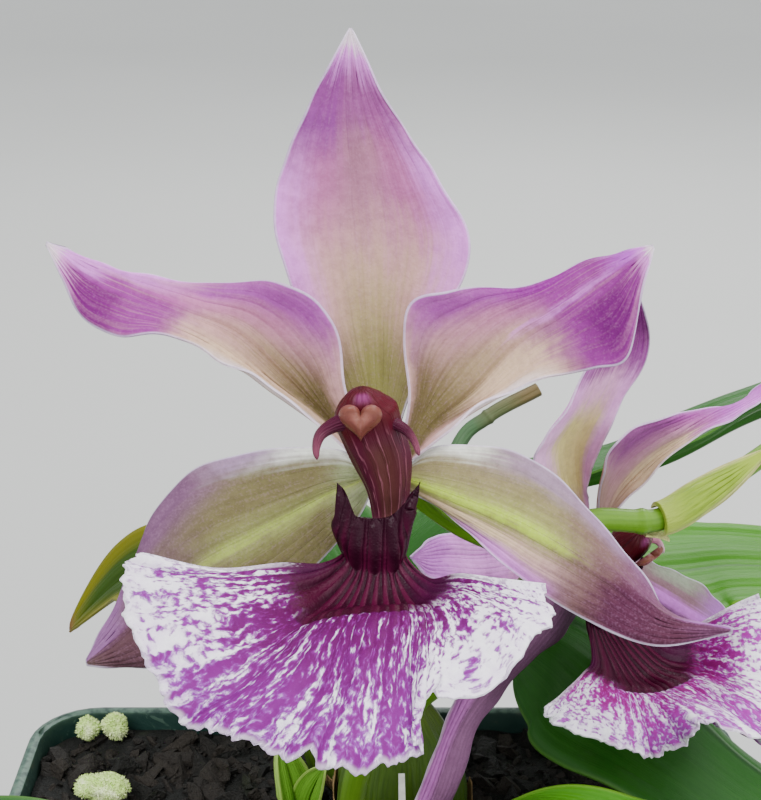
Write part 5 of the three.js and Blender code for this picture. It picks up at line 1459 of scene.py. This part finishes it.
@dataclass
class PottingMix:
    """The bed of bark chips, and the mossy lumps that lie on it.

    Attributes:
        lumps: the four lumps.
        top_rings: how many rings the bed's top has.
        chip_layers: for each layer of chips its count for each square metre, its sizes and its seed.
        tuft_count: how many tufts of moss there are for each square metre.
    """

    lumps: tuple[Lump, ...] = (
        Lump("pumice_back", (-45.8, 54), (2.2, 2.1, 2.1)),
        Lump("pumice_corner", (-50.5, 53.7), (1.9, 1.8, 1.9)),
        Lump("pumice_large", (-44.8, 34.5), (4.2, 2.9, 2.2)),
        Lump("pumice_front", (34, -44), (4.2, 3.4, 2.4)),
    )
    top_rings: int = 44
    chip_layers: tuple[tuple, ...] = ((52000, (2.6, 5.2), 5), (260000, (0.7, 2.2), 11))
    tuft_count: float = 1.5e7

    def bed_rings(self) -> np.ndarray:
        """Gives the rings of the bed's skin: three up its side, and its top, which is a rough heap."""
        foot = POT_FLOOR + GAP
        slack = POT_WALL + GAP + 0.1
        corner = POT_CORNER - POT_WALL
        rim_half = RIM_HALF - slack
        rings = [square_ring(pot_half_at(foot) - slack, foot, corner),
                 square_ring(pot_half_at(RIM_FOOT) - slack, RIM_FOOT - 0.1, corner),
                 square_ring(rim_half, RIM_FOOT + 2.6, POT_CORNER)]
        for share in np.linspace(1, 0.02, self.top_rings):
            ring = square_ring(rim_half * share, MIX_TOP, POT_CORNER * share)
            ring[:, 2] += lump_noise(ring, 0.16) * 1.1 + lump_noise(ring, 0.45, 7) * 0.6 - 0.9
            rings.append(ring)
        return np.stack(rings)

    def ground(self, rings: np.ndarray) -> bpy.types.Object:
        """Makes the helper surface that chips are strewn over, marked free away from the plant."""
        skin = Skin("mix_ground")
        skin.add_rings(rings)
        points = skin.blocks[0][0]
        helper = skin.finish(bpy.data.materials.new("helper"))
        spots = [(bulb.x, bulb.y, bulb.radius * 0.7, bulb.radius * 0.95) for bulb in BULBS]
        spots += [(*lump.middle, lump.size[0] * 0.8, lump.size[0] * 1.4) for lump in self.lumps]
        free = np.ones(len(points))
        for x, y, near, far in spots:
            free *= ease(near, far, np.hypot(points[:, 0] - x, points[:, 1] - y))
        free[-2] = 0
        mark_points(helper.data, "free", free)
        body = bmesh.new()
        body.from_mesh(helper.data)
        body.verts.ensure_lookup_table()
        bmesh.ops.delete(body, geom=[body.verts[len(points) - 2]], context="VERTS")
        body.to_mesh(helper.data)
        body.free()
        return helper

    def build(self) -> None:
        """Makes the bed with its chips and the lumps with their moss."""
        bark = BarkFinish().material()
        rings = self.bed_rings()
        skin = Skin("potting_mix_bed")
        skin.add_rings(rings)
        bed = skin.finish(bark)
        ground = self.ground(rings[4:])
        chips = [pebble("bark_slab", (1.0, 0.62, 0.34), 3, 14), pebble("bark_block", (0.85, 0.7, 0.5), 8, 12)]
        tree = Scatter("strew_bark", False)
        layers = [tree.strew(ground, chips, *layer, bark) for layer in self.chip_layers]
        for mesh in layers:
            self.keep_inside(mesh)
        mix = join_meshes("potting_mix_chips", [bed.data, *layers], bark)
        discard(bed, ground, *chips)
        seat(mix, "bark_mix", "potting_mix")
        self.moss()

    @staticmethod
    def keep_inside(mesh: bpy.types.Mesh) -> None:
        """Holds chips inside the pot's wall and under a low heap."""
        points = np.empty(len(mesh.vertices) * 3, np.float32)
        mesh.vertices.foreach_get("co", points)
        points = points.reshape(-1, 3)
        reach = (RIM_HALF - POT_WALL - GAP) * MM
        points[:, :2] = np.clip(points[:, :2], -reach, reach)
        points[:, 2] = np.minimum(points[:, 2], (MIX_TOP + 3.0) * MM)
        mesh.vertices.foreach_set("co", points.ravel())

    def moss(self) -> None:
        """Makes each lump, rough and fuzzed over with short tufts."""
        material = MossFinish().material()
        tufts = [pebble("moss_blade", (0.09, 0.09, 0.62), 2, 7),
                 pebble("moss_tuft", (0.16, 0.14, 0.42), 6, 8)]
        tree = Scatter("strew_moss", True)
        for number, lump in enumerate(self.lumps):
            body = bmesh.new()
            bmesh.ops.create_icosphere(body, subdivisions=4, radius=1.0)
            points = np.array([v.co for v in body.verts])
            rough = 1 + 0.3 * lump_noise(points, 1.3, number * 5.0) + 0.12 * lump_noise(points, 4.0, number)
            points = points * rough[:, None] * np.array(lump.size) * 0.96
            points += (*lump.middle, MIX_TOP + GAP + lump.size[2])
            for vertex, point in zip(body.verts, points):
                vertex.co = Vector(point) * MM
            stone = made_from(f"{lump.name}_stone", body)
            mesh = stone.data
            mesh.polygons.foreach_set("use_smooth", np.ones(len(mesh.polygons), bool))
            mark_points(mesh, "free", ease(-0.6, 0.2, lump_noise(points, 0.4, 3)))
            fuzz = tree.strew(stone, tufts, self.tuft_count, (0.7, 1.3), 3 + number, material)
            piece = join_meshes(f"{lump.name}_moss", [mesh, fuzz], material)
            discard(stone)
            seat(piece, "moss_lump", lump.name)
        discard(*tufts)


@dataclass
class Bulb:
    """One pseudobulb: where it stands, how tall and wide it is, and how much of it is sheathed."""

    name: str
    x: float
    y: float
    top: float
    radius: float
    sheathed: float
    foot: float = RHIZOME_Z + RHIZOME_RADIUS + GAP

    def build(self, material: bpy.types.Material) -> None:
        """Makes the ribbed bulb with the torn papery sheath round its foot."""
        steps, sides = 64, 84
        outline = curve(BULB_PROFILE, np.linspace(0, 1, steps))
        angle = angles(sides)
        ribs = 1 + 0.05 * np.cos(7 * angle) + 0.012 * np.cos(21 * angle + self.x)
        rng = np.random.default_rng(int(self.x * 7 + 900))
        skin = Skin(self.name + "_skin")
        rings = self.around((outline[:, 0] * self.radius)[:, None] * ribs, outline[:, 1][:, None], angle)
        rings += 0.18 * lump_noise(rings, 0.22, self.y)[..., None]
        skin.add_rings(rings)
        for turn, tall in ((rng.uniform(0, 6), self.sheathed), (rng.uniform(0, 6), self.sheathed * 0.6)):
            self.add_sheath(skin, turn, tall)
        seat(skin.finish(material), "bulb_skin", self.name)

    def around(self, radius: np.ndarray, up: np.ndarray, angle: np.ndarray) -> np.ndarray:
        """Places points round the bulb's oval axis; up is 0 at its foot and 1 at its top."""
        x = self.x + radius * np.cos(angle)
        y = self.y + 0.8 * radius * np.sin(angle)
        return np.stack([x, y, np.broadcast_to(self.foot + (self.top - self.foot) * up, x.shape)], axis=-1)

    def add_sheath(self, skin: Skin, turn: float, tall: float) -> None:
        """Wraps a papery scale, with a torn upper margin, round the lower part of the bulb."""
        rows, columns = 24, 72
        up = np.linspace(0.02, 1, rows)[:, None]
        across = np.linspace(-1, 1, columns)[None]
        torn = tall * (1 - 0.55 * across**2) * (1 + 0.16 * ripple(across, int(turn * 9), (2.5, 6, 13, 29)))
        t = np.clip(up * torn, 0, 0.92)
        angle = turn + across * 1.9
        places = np.linspace(0, 1, 60)
        wide, high = (np.interp(t, places, column) for column in curve(BULB_PROFILE, places).T)
        lift = 0.35 + 0.5 * up * (1 + 0.4 * ripple(across, int(turn * 5), (3, 7)))
        grid = self.around(wide * self.radius * (1 + 0.05 * np.cos(7 * angle)) + lift, high, angle)
        skin.add_sheet(grid[:, ::-1], np.full(t.shape, 0.16), np.zeros(t.shape))


BULBS = (
    Bulb("pseudobulb_lead", 3, 17, 126.3, 9.6, 0.62),
    Bulb("pseudobulb_back", -4, 38, 119, 8.8, 0.5),
    Bulb("pseudobulb_second", 12, -9, 123.3, 9.6, 0.45),
    Bulb("pseudobulb_third", -14, -22, 120.3, 9.2, 0.4),
    Bulb("pseudobulb_old", 26, -30, 114.6, 8.2, 0.3),
)


@dataclass
class RootStock:
    """The ringed rhizome and the bulbs that stand on it."""

    ring_apart: float = 3.4

    def build(self) -> None:
        """Makes the rhizome with its ringed scars, and the bulbs."""
        skin = Skin("rhizome_skin")
        steps, sides = 150, 40
        for path, share in ((RHIZOME_PATH, 1.0), (SIDE_SHOOT, 0.96)):
            middle = curve([(x, y, RHIZOME_Z) for x, y in path], np.linspace(0, 1, steps))
            beat = (walked(middle) / self.ring_apart) % 1
            radius = RHIZOME_RADIUS * share * (0.93 + 0.09 * beat**2)
            rings = tube_rings(middle, radius, sides, front=(0, 0, 1))
            rings += 0.2 * lump_noise(rings, 0.4)[..., None]
            skin.add_rings(rings)
        seat(skin.finish(Flesh.RHIZOME.value.material()), "rhizome_skin", "rhizome")
        material = Flesh.BULB.value.material()
        for bulb in BULBS:
            bulb.build(material)


@dataclass
class Leaf:
    """A pleated leaf blade.

    Attributes:
        name: its name.
        half: the greatest half width.
        fold: the rise of its halves for each millimetre across.
        faces: the way that its upper face looks, from foot to tip.
        path: its midrib.
        skin: its finish.
        waves: how far its margins wave up and down.
    """

    name: str
    half: float
    fold: float
    faces: tuple[Point, ...]
    path: tuple[Point, ...]
    skin: LeafSkin = LeafSkin.DARK
    waves: float = 0.5

    def half_width(self, t: np.ndarray) -> np.ndarray:
        """The half width at each place along the leaf."""
        opening = 0.05 + 0.95 * ease(0.04, 0.42, t)
        return 0.35 + self.half * opening * np.maximum(0, 1 - t**3.2) ** 0.75

    def add_to(self, skin: Skin, rows: int, columns: int) -> None:
        """Adds the blade to a skin, folded on its midrib, with pleats and waved margins."""
        u = np.linspace(0, 1, rows)
        w = np.linspace(-1, 1, columns)[None]
        middle = curve(self.path, u)
        ahead = unit(curve(self.path, np.minimum(u + 0.01, 1)) - curve(self.path, np.maximum(u - 0.01, 0)))
        side = unit(np.cross(ahead, curve(self.faces, u)))
        up = np.cross(side, ahead)
        half = self.half_width(u)[:, None]
        foot = (1 - ease(0.02, 0.25, u))[:, None]
        fold = self.fold + (0.9 - self.fold) * foot
        across = half * w / np.hypot(1, fold)
        small = np.minimum(1, half / 8)
        length = np.linalg.norm(np.diff(middle, axis=0), axis=1).sum()
        seed = int(np.abs(self.path[-1]).sum())
        waves = (ripple(u * length / 60, seed, (1, 2.3))[:, None] * (w > 0)
                 + ripple(u * length / 60, seed + 1, (1.2, 2.1))[:, None] * (w < 0))
        rise = fold * np.abs(across) - 0.45 * np.cos(3 * np.pi * w) * (1 - foot) * small
        rise = rise + self.waves * waves * np.abs(w) ** 3 * (1 - foot) * small
        rise = rise + 0.07 * np.cos(9 * np.pi * w) * (1 - foot) * small
        rise = rise - 0.3 * hump(w * half, 0.8) * (1 - foot)
        grid = middle[:, None] + side[:, None] * across[..., None] + up[:, None] * rise[..., None]
        edge = np.minimum((1 - np.abs(w)) * half, (1 - u)[:, None] * length + 0.01)
        thick = LEAF_THICK * (0.4 + 0.6 * ease(0, 2.0, edge)) + 0.5 * hump(w * half, 1.1) * small
        skin.add_sheet(grid, thick, edge)

    def build(self) -> None:
        """Makes the leaf as a piece of its own."""
        skin = Skin(self.name + "_blade")
        self.add_to(skin, 130, 45)
        slot = {LeafSkin.BRIGHT: "leaf_bright", LeafSkin.OLD: "leaf_old"}.get(self.skin, "leaf_blade")
        seat(skin.finish(leaf_material(self.skin)), slot, self.name)


@functools.cache
def leaf_material(skin: LeafSkin) -> bpy.types.Material:
    """Gives the one material of a leaf skin, built when it is first asked for."""
    return skin.value.material()


LEAVES = (
    Leaf("leaf_right_broad", 20, -0.42,
         ((0.2, -0.5, 0.85), (0.31, -0.44, 0.85), (0.35, -0.05, 0.94), (0.4, 0, 0.92)),
         ((5, 15.5, 126.8), (10, 16.5, 137), (18.2, 19.6, 140), (28.3, 17.6, 138.4), (37.1, 14.4, 132.8),
          (46, 11, 126), (56, 8.5, 118), (80, 4, 104), (104, -2, 88), (126, -8, 70))),
    Leaf("leaf_right_bright", 16, 0.04, ((0, -0.3, 0.9), (0, -0.05, 1), (0.3, 0, 0.95)),
         ((5, 18.5, 126.8), (10, 30, 132), (24, 46, 130), (50, 56, 128),
          (64, 57.5, 128.3), (95, 61, 123), (130, 64, 107), (155, 65, 84)), LeafSkin.BRIGHT),
    Leaf("leaf_right_rising", 14, 0.2, ((-0.3, -0.3, 0.9), (0, 0.34, 0.94), (0.2, 0.2, 0.95)),
         ((2, 19.2, 126.8), (3, 27, 141), (18, 36, 149), (42, 39, 155), (59, 43, 162), (85, 48, 168),
          (115, 54, 165), (140, 60, 150))),
    Leaf("leaf_left_old", 11, 0.3, ((0.3, -0.7, 0.6), (-0.3, -0.5, 0.8), (-0.5, -0.3, 0.8)),
         ((-6.4, 37.2, 119.5), (-14, 38, 128.5), (-26, 44, 131.5), (-36, 58, 127),
          (-44.5, 66, 122), (-56, 70, 109.5)), LeafSkin.OLD),
    Leaf("leaf_back_left", 15, 0.26, ((0, -0.8, 0.6), (0, -0.2, 1), (-0.1, 0.4, 0.9)),
         ((-4.6, 40, 119.5), (-8, 48, 127), (-18, 75, 126), (-30, 108, 112), (-38, 136, 90))),
    Leaf("leaf_back_right", 15, 0.26, ((0, -0.8, 0.6), (0.1, -0.1, 1), (0.2, 0.4, 0.9)),
         ((-1.8, 38.8, 119.5), (14, 50, 121.5), (36, 80, 117.5), (60, 110, 104), (82, 136, 84))),
    Leaf("leaf_front", 18, 0.24, ((0, 0.6, 0.8), (0.1, 0, 1), (0.2, -0.4, 0.9)),
         ((12.4, -11, 123.8), (18, -24, 130), (28, -46, 136), (42, -76, 132), (54, -106, 115),
          (62, -132, 91))),
    Leaf("leaf_front_left", 17, 0.24, ((0.4, 0.4, 0.8), (0, 0, 1), (-0.3, -0.3, 0.9)),
         ((-14.4, -24, 120.8), (-24, -36, 130), (-44, -56, 136), (-70, -80, 128), (-94, -102, 108),
          (-112, -118, 84))),
    Leaf("leaf_right_low", 16, 0.22, ((-0.5, 0.3, 0.8), (0.1, 0, 1), (0.4, -0.1, 0.9)),
         ((14.6, -8.4, 123.8), (22, -12.5, 125.5), (38, -23, 123), (66, -38, 125),
          (96, -50, 118), (122, -62, 102), (140, -70, 82)), LeafSkin.BRIGHT),
    Leaf("leaf_left_low", 16, 0.22, ((0.5, 0, 0.8), (0, 0, 1), (-0.4, 0, 0.9)),
         ((-16.4, -21.4, 120.8), (-28, -23, 122.5), (-50, -28, 125), (-82, -34, 121), (-112, -41, 105),
          (-134, -47, 82))),
)

SHOOT_LEAVES = (
    Leaf("shoot_leaf_1", 3.4, 0.3, ((0.6, -0.6, 0.5), (0.5, -0.7, 0.5)),
         ((-12.8, 25.2, 98), (-13.7, 25.8, 105), (-15.6, 26.6, 112.5)), LeafSkin.YOUNG, 0.2),
    Leaf("shoot_leaf_2", 3.2, 0.3, ((-0.6, -0.6, 0.5), (-0.5, -0.7, 0.5)),
         ((-11.8, 24.8, 98), (-10.8, 24, 104.5), (-8.8, 23, 110.5)), LeafSkin.YOUNG, 0.2),
    Leaf("shoot_leaf_3", 3, 0.3, ((0, 0.8, 0.6), (0, 0.6, 0.8)),
         ((-12.3, 24.4, 98), (-11.9, 22, 103), (-11, 18.6, 107)), LeafSkin.YOUNG, 0.2),
    Leaf("shoot_leaf_4", 3, 0.3, ((0, -0.8, 0.6), (0, -0.6, 0.8)),
         ((-12.6, 25.6, 98), (-13.6, 28.6, 104), (-16, 33, 108.5)), LeafSkin.YOUNG, 0.2),
)


class YoungShoot:
    """A new growth: a collar and the short leaves that open out of it."""

    def build(self) -> None:
        """Makes the collar and its leaves as one piece."""
        skin = Skin("young_shoot_blades")
        t = np.linspace(0, 1, 30)
        skin.add_tube(SHOOT_PATH, t, 3 - t, 40)
        for leaf in SHOOT_LEAVES:
            leaf.add_to(skin, 60, 21)
        seat(skin.finish(leaf_material(LeafSkin.YOUNG)), "young_leaf", "young_shoot")


def stem_radius(t: np.ndarray) -> np.ndarray:
    """The flower stem's radius at each place along it."""
    return STEM_RADIUS * (1.15 + (0.8 - 1.15) * t)


@dataclass
class Bract:
    """A leaf scale that wraps the stem and ends in a tip.

    Attributes:
        name: its name.
        start: where it starts along the stem, 0 to 1.
        end: where it ends.
        belly: how far its middle stands out.
        flare: how far its tip stands out.
        wrap: how far it reaches round the stem, in radians.
        facing: the way that its back faces.
    """

    name: str
    start: float
    end: float
    belly: float
    flare: float
    wrap: float
    facing: Point

    def build(self, material: bpy.types.Material) -> None:
        """Makes the scale."""
        rows, columns = 70, 49
        u = np.linspace(0, 1, rows)
        v = np.linspace(0, 1, columns)[None]
        t = self.start + (self.end - self.start) * u
        ahead = unit(curve(STEM_PATH, t + 0.005) - curve(STEM_PATH, t - 0.005))
        side = unit(np.cross(ahead, self.facing))
        out = np.cross(side, ahead)
        bulge = self.belly * np.sin(np.pi * (0.12 + 0.88 * u)) ** 0.8 + self.flare * u * u
        radius = (stem_radius(t) + 0.5 + bulge)[:, None]
        angle = (v - 0.5) * (self.wrap + (0.4 - self.wrap) * (u * u)[:, None])
        radius = radius + 0.07 * np.sin(v * 60) * np.sin(np.pi * u)[:, None]
        grid = (curve(STEM_PATH, t)[:, None] + out[:, None] * (radius * np.cos(angle))[..., None]
                + side[:, None] * (radius * np.sin(angle))[..., None])
        edge = (0.5 - np.abs(v - 0.5)) * 2 * radius * self.wrap / 2 * 1.6
        skin = Skin(self.name + "_scale")
        skin.add_sheet(grid, 0.2 + 0.42 * ease(0, 3, edge), edge)
        seat(skin.finish(material), "bract", self.name)


@dataclass
class FlowerStem:
    """The bent stem with its stalks, scales, buds and the cut spike of last season."""

    joints: tuple[float, ...] = (0.14, 0.3, 0.65, 0.84)
    spike_joints: tuple[float, ...] = (0.3, 0.55, 0.8)
    bracts: tuple[Bract, ...] = (
        Bract("bract_sheath", 0.668, 0.81, 0.2, 0, 4, (0, -0.8, 0.6)),
        Bract("bract_small", 0.655, 0.685, 0, 2.4, 1.3, (0, 0.45, -0.89)),
    )
    buds: tuple[tuple[str, Point, Point, float], ...] = (
        ("bud_upper", (82.4, 19.2, 194.4), (91, 23.5, 204), 4.2),
        ("bud_lower", (77.2, 5.7, 192.5), (80, 0, 201), 3.6),
    )

    def build(self) -> None:
        """Makes the stem, its scales, its buds and the old spike."""
        skin = Skin("flower_stem_skin")
        t = np.linspace(0, 1, 420)
        knots = sum(0.16 * hump(t - at, 0.0045) for at in self.joints)
        skin.add_tube(STEM_PATH, t, stem_radius(t) * (1 + knots), 28)
        for stalk, bloom in ((FRONT_STALK, FRONT_BLOOM), (SIDE_STALK, SIDE_BLOOM)):
            self.add_stalk(skin, stalk)
            self.add_seat(skin, bloom)
        t = np.linspace(0, 1, 40)
        skin.add_tube(BUD_STALK, t, np.ones_like(t), 20)
        seat(skin.finish(Flesh.STEM.value.material()), "stem_skin", "flower_stem")
        scale = Flesh.BRACT.value.material()
        for bract in self.bracts:
            bract.build(scale)
        self.make_buds()
        self.make_spike()

    @staticmethod
    def add_stalk(skin: Skin, path: tuple[Point, ...]) -> None:
        """Adds a flower's stalk, with the six ribs of the ovary in it."""
        steps, sides = 110, 36
        t = np.linspace(0, 1, steps)
        ribs = 1 + 0.09 * ease(0.3, 0.7, t)[:, None] * np.cos(6 * angles(sides))
        skin.add_tube(path, t, (1.1 + 0.8 * t**2.5)[:, None] * ribs, sides, (0, 0, 1))

    @staticmethod
    def add_seat(skin: Skin, bloom: "Bloom") -> None:
        """Adds the rounded disc behind a bloom that its petals grow from."""
        depth, radius = SEAT_PROFILE.T[..., None]
        angle = angles(40)
        rings = np.stack([radius * np.cos(angle), depth + 0 * angle, radius * np.sin(angle)], axis=-1)
        skin.add_rings(moved(rings, bloom.place()))

    def make_buds(self) -> None:
        """Makes the buds, with the seams between their sepals."""
        material = Flesh.BUD.value.material()
        steps, sides = 56, 54
        t = np.linspace(0, 1, steps)
        angle = angles(sides)
        seam = 1 - 0.1 * np.maximum(0, np.cos(3 * angle)) ** 24 + 0.015 * np.cos(18 * angle)
        for name, foot, tip, radius in self.buds:
            wide = radius * (0.3 + 0.7 * np.sin(np.pi * np.minimum(1, 0.16 + 0.8 * t)) ** 0.8)
            skin = Skin(name + "_skin")
            skin.add_tube((foot, (np.array(foot) + tip) / 2, tip), t, wide[:, None] * seam, sides)
            seat(skin.finish(material), "bud", name)

    def make_spike(self) -> None:
        """Makes last season's spike, ringed and dry at its end."""
        steps, sides = 200, 28
        t = np.linspace(0, 1, steps)
        knots = sum(0.14 * hump(t - at, 0.008) for at in self.spike_joints)
        dry = 0.08 * ease(0.6, 0.95, t)[:, None] * np.cos(5 * angles(sides) + 3 * t[:, None])
        skin = Skin("old_flower_spike_skin")
        skin.add_tube(OLD_SPIKE, t, ((1.5 - 0.3 * t) * (1 + knots))[:, None] * (1 + dry), sides)
        seat(skin.finish(Flesh.SPIKE.value.material()), "old_spike", "old_flower_spike")


@dataclass
class Bloom:
    """One flower: five tepals, the lip, the column and its anther cap.

    Attributes:
        prefix: what the names of its pieces start with.
        middle: the place of its middle.
        turn: its turns about x, y and z, in degrees, before it leans.
        tepals: the rails of its sepals and petals.
        skins: the finish of each, in the same order.
        lip: the outer part of each of its lip's rays.
        lip_finish: the lip's finish.
        column_finish: the column's finish.
        reaches: for each notch or lobe added to the lip's margin, its place, width and length.
        lip_rows: how many points each of the lip's rays has.
        lip_columns: how many rays the lip has.
    """

    prefix: str
    middle: Point
    turn: Point
    tepals: dict[str, tuple]
    skins: list[TepalSkin]
    lip: tuple
    lip_finish: LipFinish
    column_finish: ColumnFinish
    reaches: tuple[Point, ...] = ()
    lip_rows: int = 111
    lip_columns: int = 221

    def place(self) -> Matrix:
        """The matrix from the bloom's own millimetres to the part's."""
        x, y, z = (math.radians(angle) for angle in self.turn)
        turned = Matrix.Rotation(z, 4, "Z") @ Matrix.Rotation(x, 4, "X") @ Matrix.Rotation(y, 4, "Y")
        return Matrix.Translation(self.middle) @ Matrix.Rotation(-LEAN, 4, "X") @ turned

    def skin(self, part: str) -> Skin:
        """Starts the skin of one of its pieces."""
        return Skin(f"{self.prefix}_{part}", self.place())

    def build(self) -> None:
        """Makes every piece of the bloom."""
        for number, name in enumerate(self.tepals):
            self.make_tepal(name, number)
        self.make_lip()
        self.make_column()
        self.make_cap()

    def make_tepal(self, name: str, number: int) -> None:
        """Makes a sepal or petal with waved margins, a keel and low veins."""
        rows, columns = 96, 49
        u = np.linspace(0, 1, rows)
        w = np.linspace(-1, 1, columns)[None, :, None]
        left, middle, right = (curve(rail, u)[:, None] for rail in self.tepals[name])
        grid = left * (w * w - w) / 2 + middle * (1 - w * w) + right * (w * w + w) / 2
        w = w[..., 0]
        width = np.linalg.norm(np.diff(grid, axis=1), axis=2).sum(axis=1)[:, None]
        length = np.linalg.norm(np.diff(middle[:, 0], axis=0), axis=1).sum()
        side = walked(grid, 1)
        edge = np.minimum(np.minimum(side, width - side), (1 - u)[:, None] * length + 0.02)
        seed = number * 3 + len(self.prefix)
        open_part = ease(0.12, 0.3, u)[:, None] * ease(0, 5, width)
        wave = (ripple(u * length / 14, seed, (1, 2.2))[:, None] * (w > 0)
                + ripple(u * length / 14, seed + 1, (1.1, 2.4))[:, None] * (w < 0)) * np.abs(w) ** 4 * 0.28
        keel = -0.35 * hump(w * width, 1.6) * ease(1, 0.6, u)[:, None] * ease(0, 4, width)
        veins = 0.05 * np.cos(w * np.pi * 11)
        relief = (wave + veins + 0.05 * lump_noise(grid, 0.35, seed)) * open_part + keel
        grid = grid + sheet_normal(grid) * relief[..., None]
        skin = self.skin(f"{name}_blade")
        skin.add_sheet(grid, (TEPAL_THICK - 0.08 * u[:, None]) * thinned(edge, 1.5), edge)
        slot = {"dorsal": "sepal", "latera": "lateral_sepal"}.get(name[:6], "petal")
        seat(skin.finish(self.skins[number].value.material()), slot, f"{self.prefix}_{name}")

    def make_lip(self) -> None:
        """Makes the lip: ridged callus, veined throat, sharp crest and a frilled margin."""
        v = np.linspace(0, 1, self.lip_columns)
        t = np.linspace(0, 1, self.lip_rows)
        u = t[:, None]
        lines = np.stack([curve(root + outer, t) for root, outer in zip(CALLUS, self.lip)], axis=1)
        grid = np.einsum("jk,ikx->ijx", weights(len(CALLUS), v), lines)
        wave = 0.7 * np.maximum(0, (u - 0.6) / 0.4) ** 2 * np.sin(12 * np.pi * v)
        grid = grid + wave[..., None] * np.array([0, -0.6, 0.8])
        away = unit(np.gradient(grid, axis=0))
        reach = sum((far * hump(v - at, spread) for at, spread, far in self.reaches), 0 * v)
        grid = grid + away * (reach * ease(0.72, 1, u) ** 2)[..., None]
        normal = sheet_normal(grid)
        seed = len(self.prefix) * 5
        outer = ease(0.8, 1, u)
        teeth = ripple(v, seed, (9, 21, 38, 67, 90)) * 0.75
        frill = ripple(v, seed + 1, (13, 24, 41)) * 0.8
        folds = ripple(v, seed + 2, (5, 8, 13)) * 0.5
        grid = grid + away * (teeth * outer**2)[..., None]
        grid = grid + normal * (frill * outer**2 + folds * ease(0.7, 0.95, u))[..., None]
        ridge = 0.32 * np.maximum(0, np.cos(2 * np.pi * 4.5 * (v - 0.5))) ** 1.5
        grid = grid + normal * (ridge * ease(0.36, 0.26, u) * ease(0, 0.06, u))[..., None]
        veins = 0.06 * np.cos(2 * np.pi * 26 * v) * ease(0.36, 0.5, u)
        crest = 0.28 * hump(u - 0.66, 0.016) * ease(0.1, 0.25, v) * ease(0.95, 0.8, v)
        grid = grid + normal * (veins - crest)[..., None]
        side = walked(grid, 1)
        edge = np.minimum(walked(grid[::-1])[::-1], np.minimum(side, side[:, -1:] - side))
        thick = CALLUS_THICK + (LIP_THICK - CALLUS_THICK) * ease(0.25, 0.5, u)
        skin = self.skin("lip_blade")
        skin.add_sheet(grid, thick * thinned(edge, 1.4), edge)
        seat(skin.finish(self.lip_finish.material()), "lip", f"{self.prefix}_lip")

    def make_column(self) -> None:
        """Makes the column with its hood, its root and its two hooks."""
        skin = self.skin("column_skin")
        steps, sides = 90, 60
        t = np.linspace(0, 1, steps)
        places = np.linspace(0, 1, len(COLUMN_HALF_WIDTHS))
        rough = (np.interp(t, places, halves) for halves in (COLUMN_HALF_WIDTHS, COLUMN_HALF_DEPTHS))
        wide, deep = (np.convolve(np.pad(line, 3, mode="edge"), np.ones(7) / 7, "valid") for line in rough)
        cap = np.sqrt(np.clip(1 - ease(0.93, 1.02, t) ** 2, 0.02, 1))
        angle = angles(sides)
        ribs = 1 + 0.035 * np.cos(9 * angle) * ease(0.75, 0.4, t)[:, None]
        groove = 1 - 0.2 * hump(angle - np.pi / 2, 0.3) * ease(0.7, 0.4, t)[:, None]
        radius = (wide * cap)[:, None] * ribs * groove
        skin.add_rings(tube_rings(curve(COLUMN_PATH, t), radius, sides, deep / wide))
        t = np.linspace(0, 1, 30)
        skin.add_tube(COLUMN_ROOT, t, np.full_like(t, 0.8), 20, (0, 0, 1))
        for hook, foot in zip(HOOKS, HOOK_RADII):
            radius = (foot + (0.25 - foot) * t) * np.sqrt(np.clip(1 - ease(0.85, 1.02, t) ** 2, 0.05, 1))
            skin.add_tube(hook, t, radius, 24, edge=0.0)
        seat(skin.finish(self.column_finish.material()), "column", f"{self.prefix}_column")

    def make_cap(self) -> None:
        """Makes the heart-shaped anther cap: a dome with a cleft down its middle."""
        middle, half_wide, half_high, slope, rise = np.array([-2.6, -11, 6.3]), 2.3, 2.2, 0.68, 1.3
        steps, sides = 30, 72
        a = -angles(sides)
        heart = (13 * np.cos(a) - 5 * np.cos(2 * a) - 2 * np.cos(3 * a) - np.cos(4 * a)) / 16
        up = np.sin(np.linspace(0, 1, steps) * np.pi / 2)[:, None]
        size = np.maximum(1 - up**2, 0.0005) ** 0.275
        x = half_wide * size * np.sin(a) ** 3
        z = half_high * size * heart
        y = 0.5 * hump(x, 0.32) * up - slope * z - rise * up
        skin = self.skin("anther_cap_skin")
        skin.add_rings(np.stack([x, y, z], axis=-1) + middle)
        seat(skin.finish(Flesh.CAP.value.material()), "anther_cap", f"{self.prefix}_anther_cap")


FRONT_BLOOM = Bloom(
    "bloom_front", (0.5, -27.4, 180.1), (0, 0, 0), FRONT_TEPALS,
    list(TepalSkin)[:5], FRONT_LIP, LipFinish("front_lip_skin", 1.0, 1.0, 1.0),
    ColumnFinish("front_column_skin"),
    ((0.489, 0.014, -1.9), (0.61, 0.02, -1.2), (0.715, 0.024, 1.3), (0.776, 0.014, -0.9), (0.834, 0.03, 2.4)),
)
SIDE_BLOOM = Bloom(
    "bloom_side", (29.1, 11.7, 153.2), (24, -26, 50), SIDE_TEPALS,
    list(TepalSkin)[5:], SIDE_LIP,
    LipFinish("side_lip_skin", 0.9, 0.7, 1.3, rgb(134, 8, 104), rgb(176, 54, 178)),
    ColumnFinish("side_column_skin", hook=rgb(190, 120, 146), hook_tip=rgb(240, 196, 210)),
)


def main() -> None:
    """Builds the stage and every piece of the plant."""
    logging.basicConfig(level=logging.INFO, format="%(name)s %(message)s")
    Stage().build()
    Pot().build()
    PottingMix().build()
    RootStock().build()
    for leaf in LEAVES:
        leaf.build()
    YoungShoot().build()
    FlowerStem().build()
    FRONT_BLOOM.build()
    SIDE_BLOOM.build()


if __name__ == "__main__":
    main()
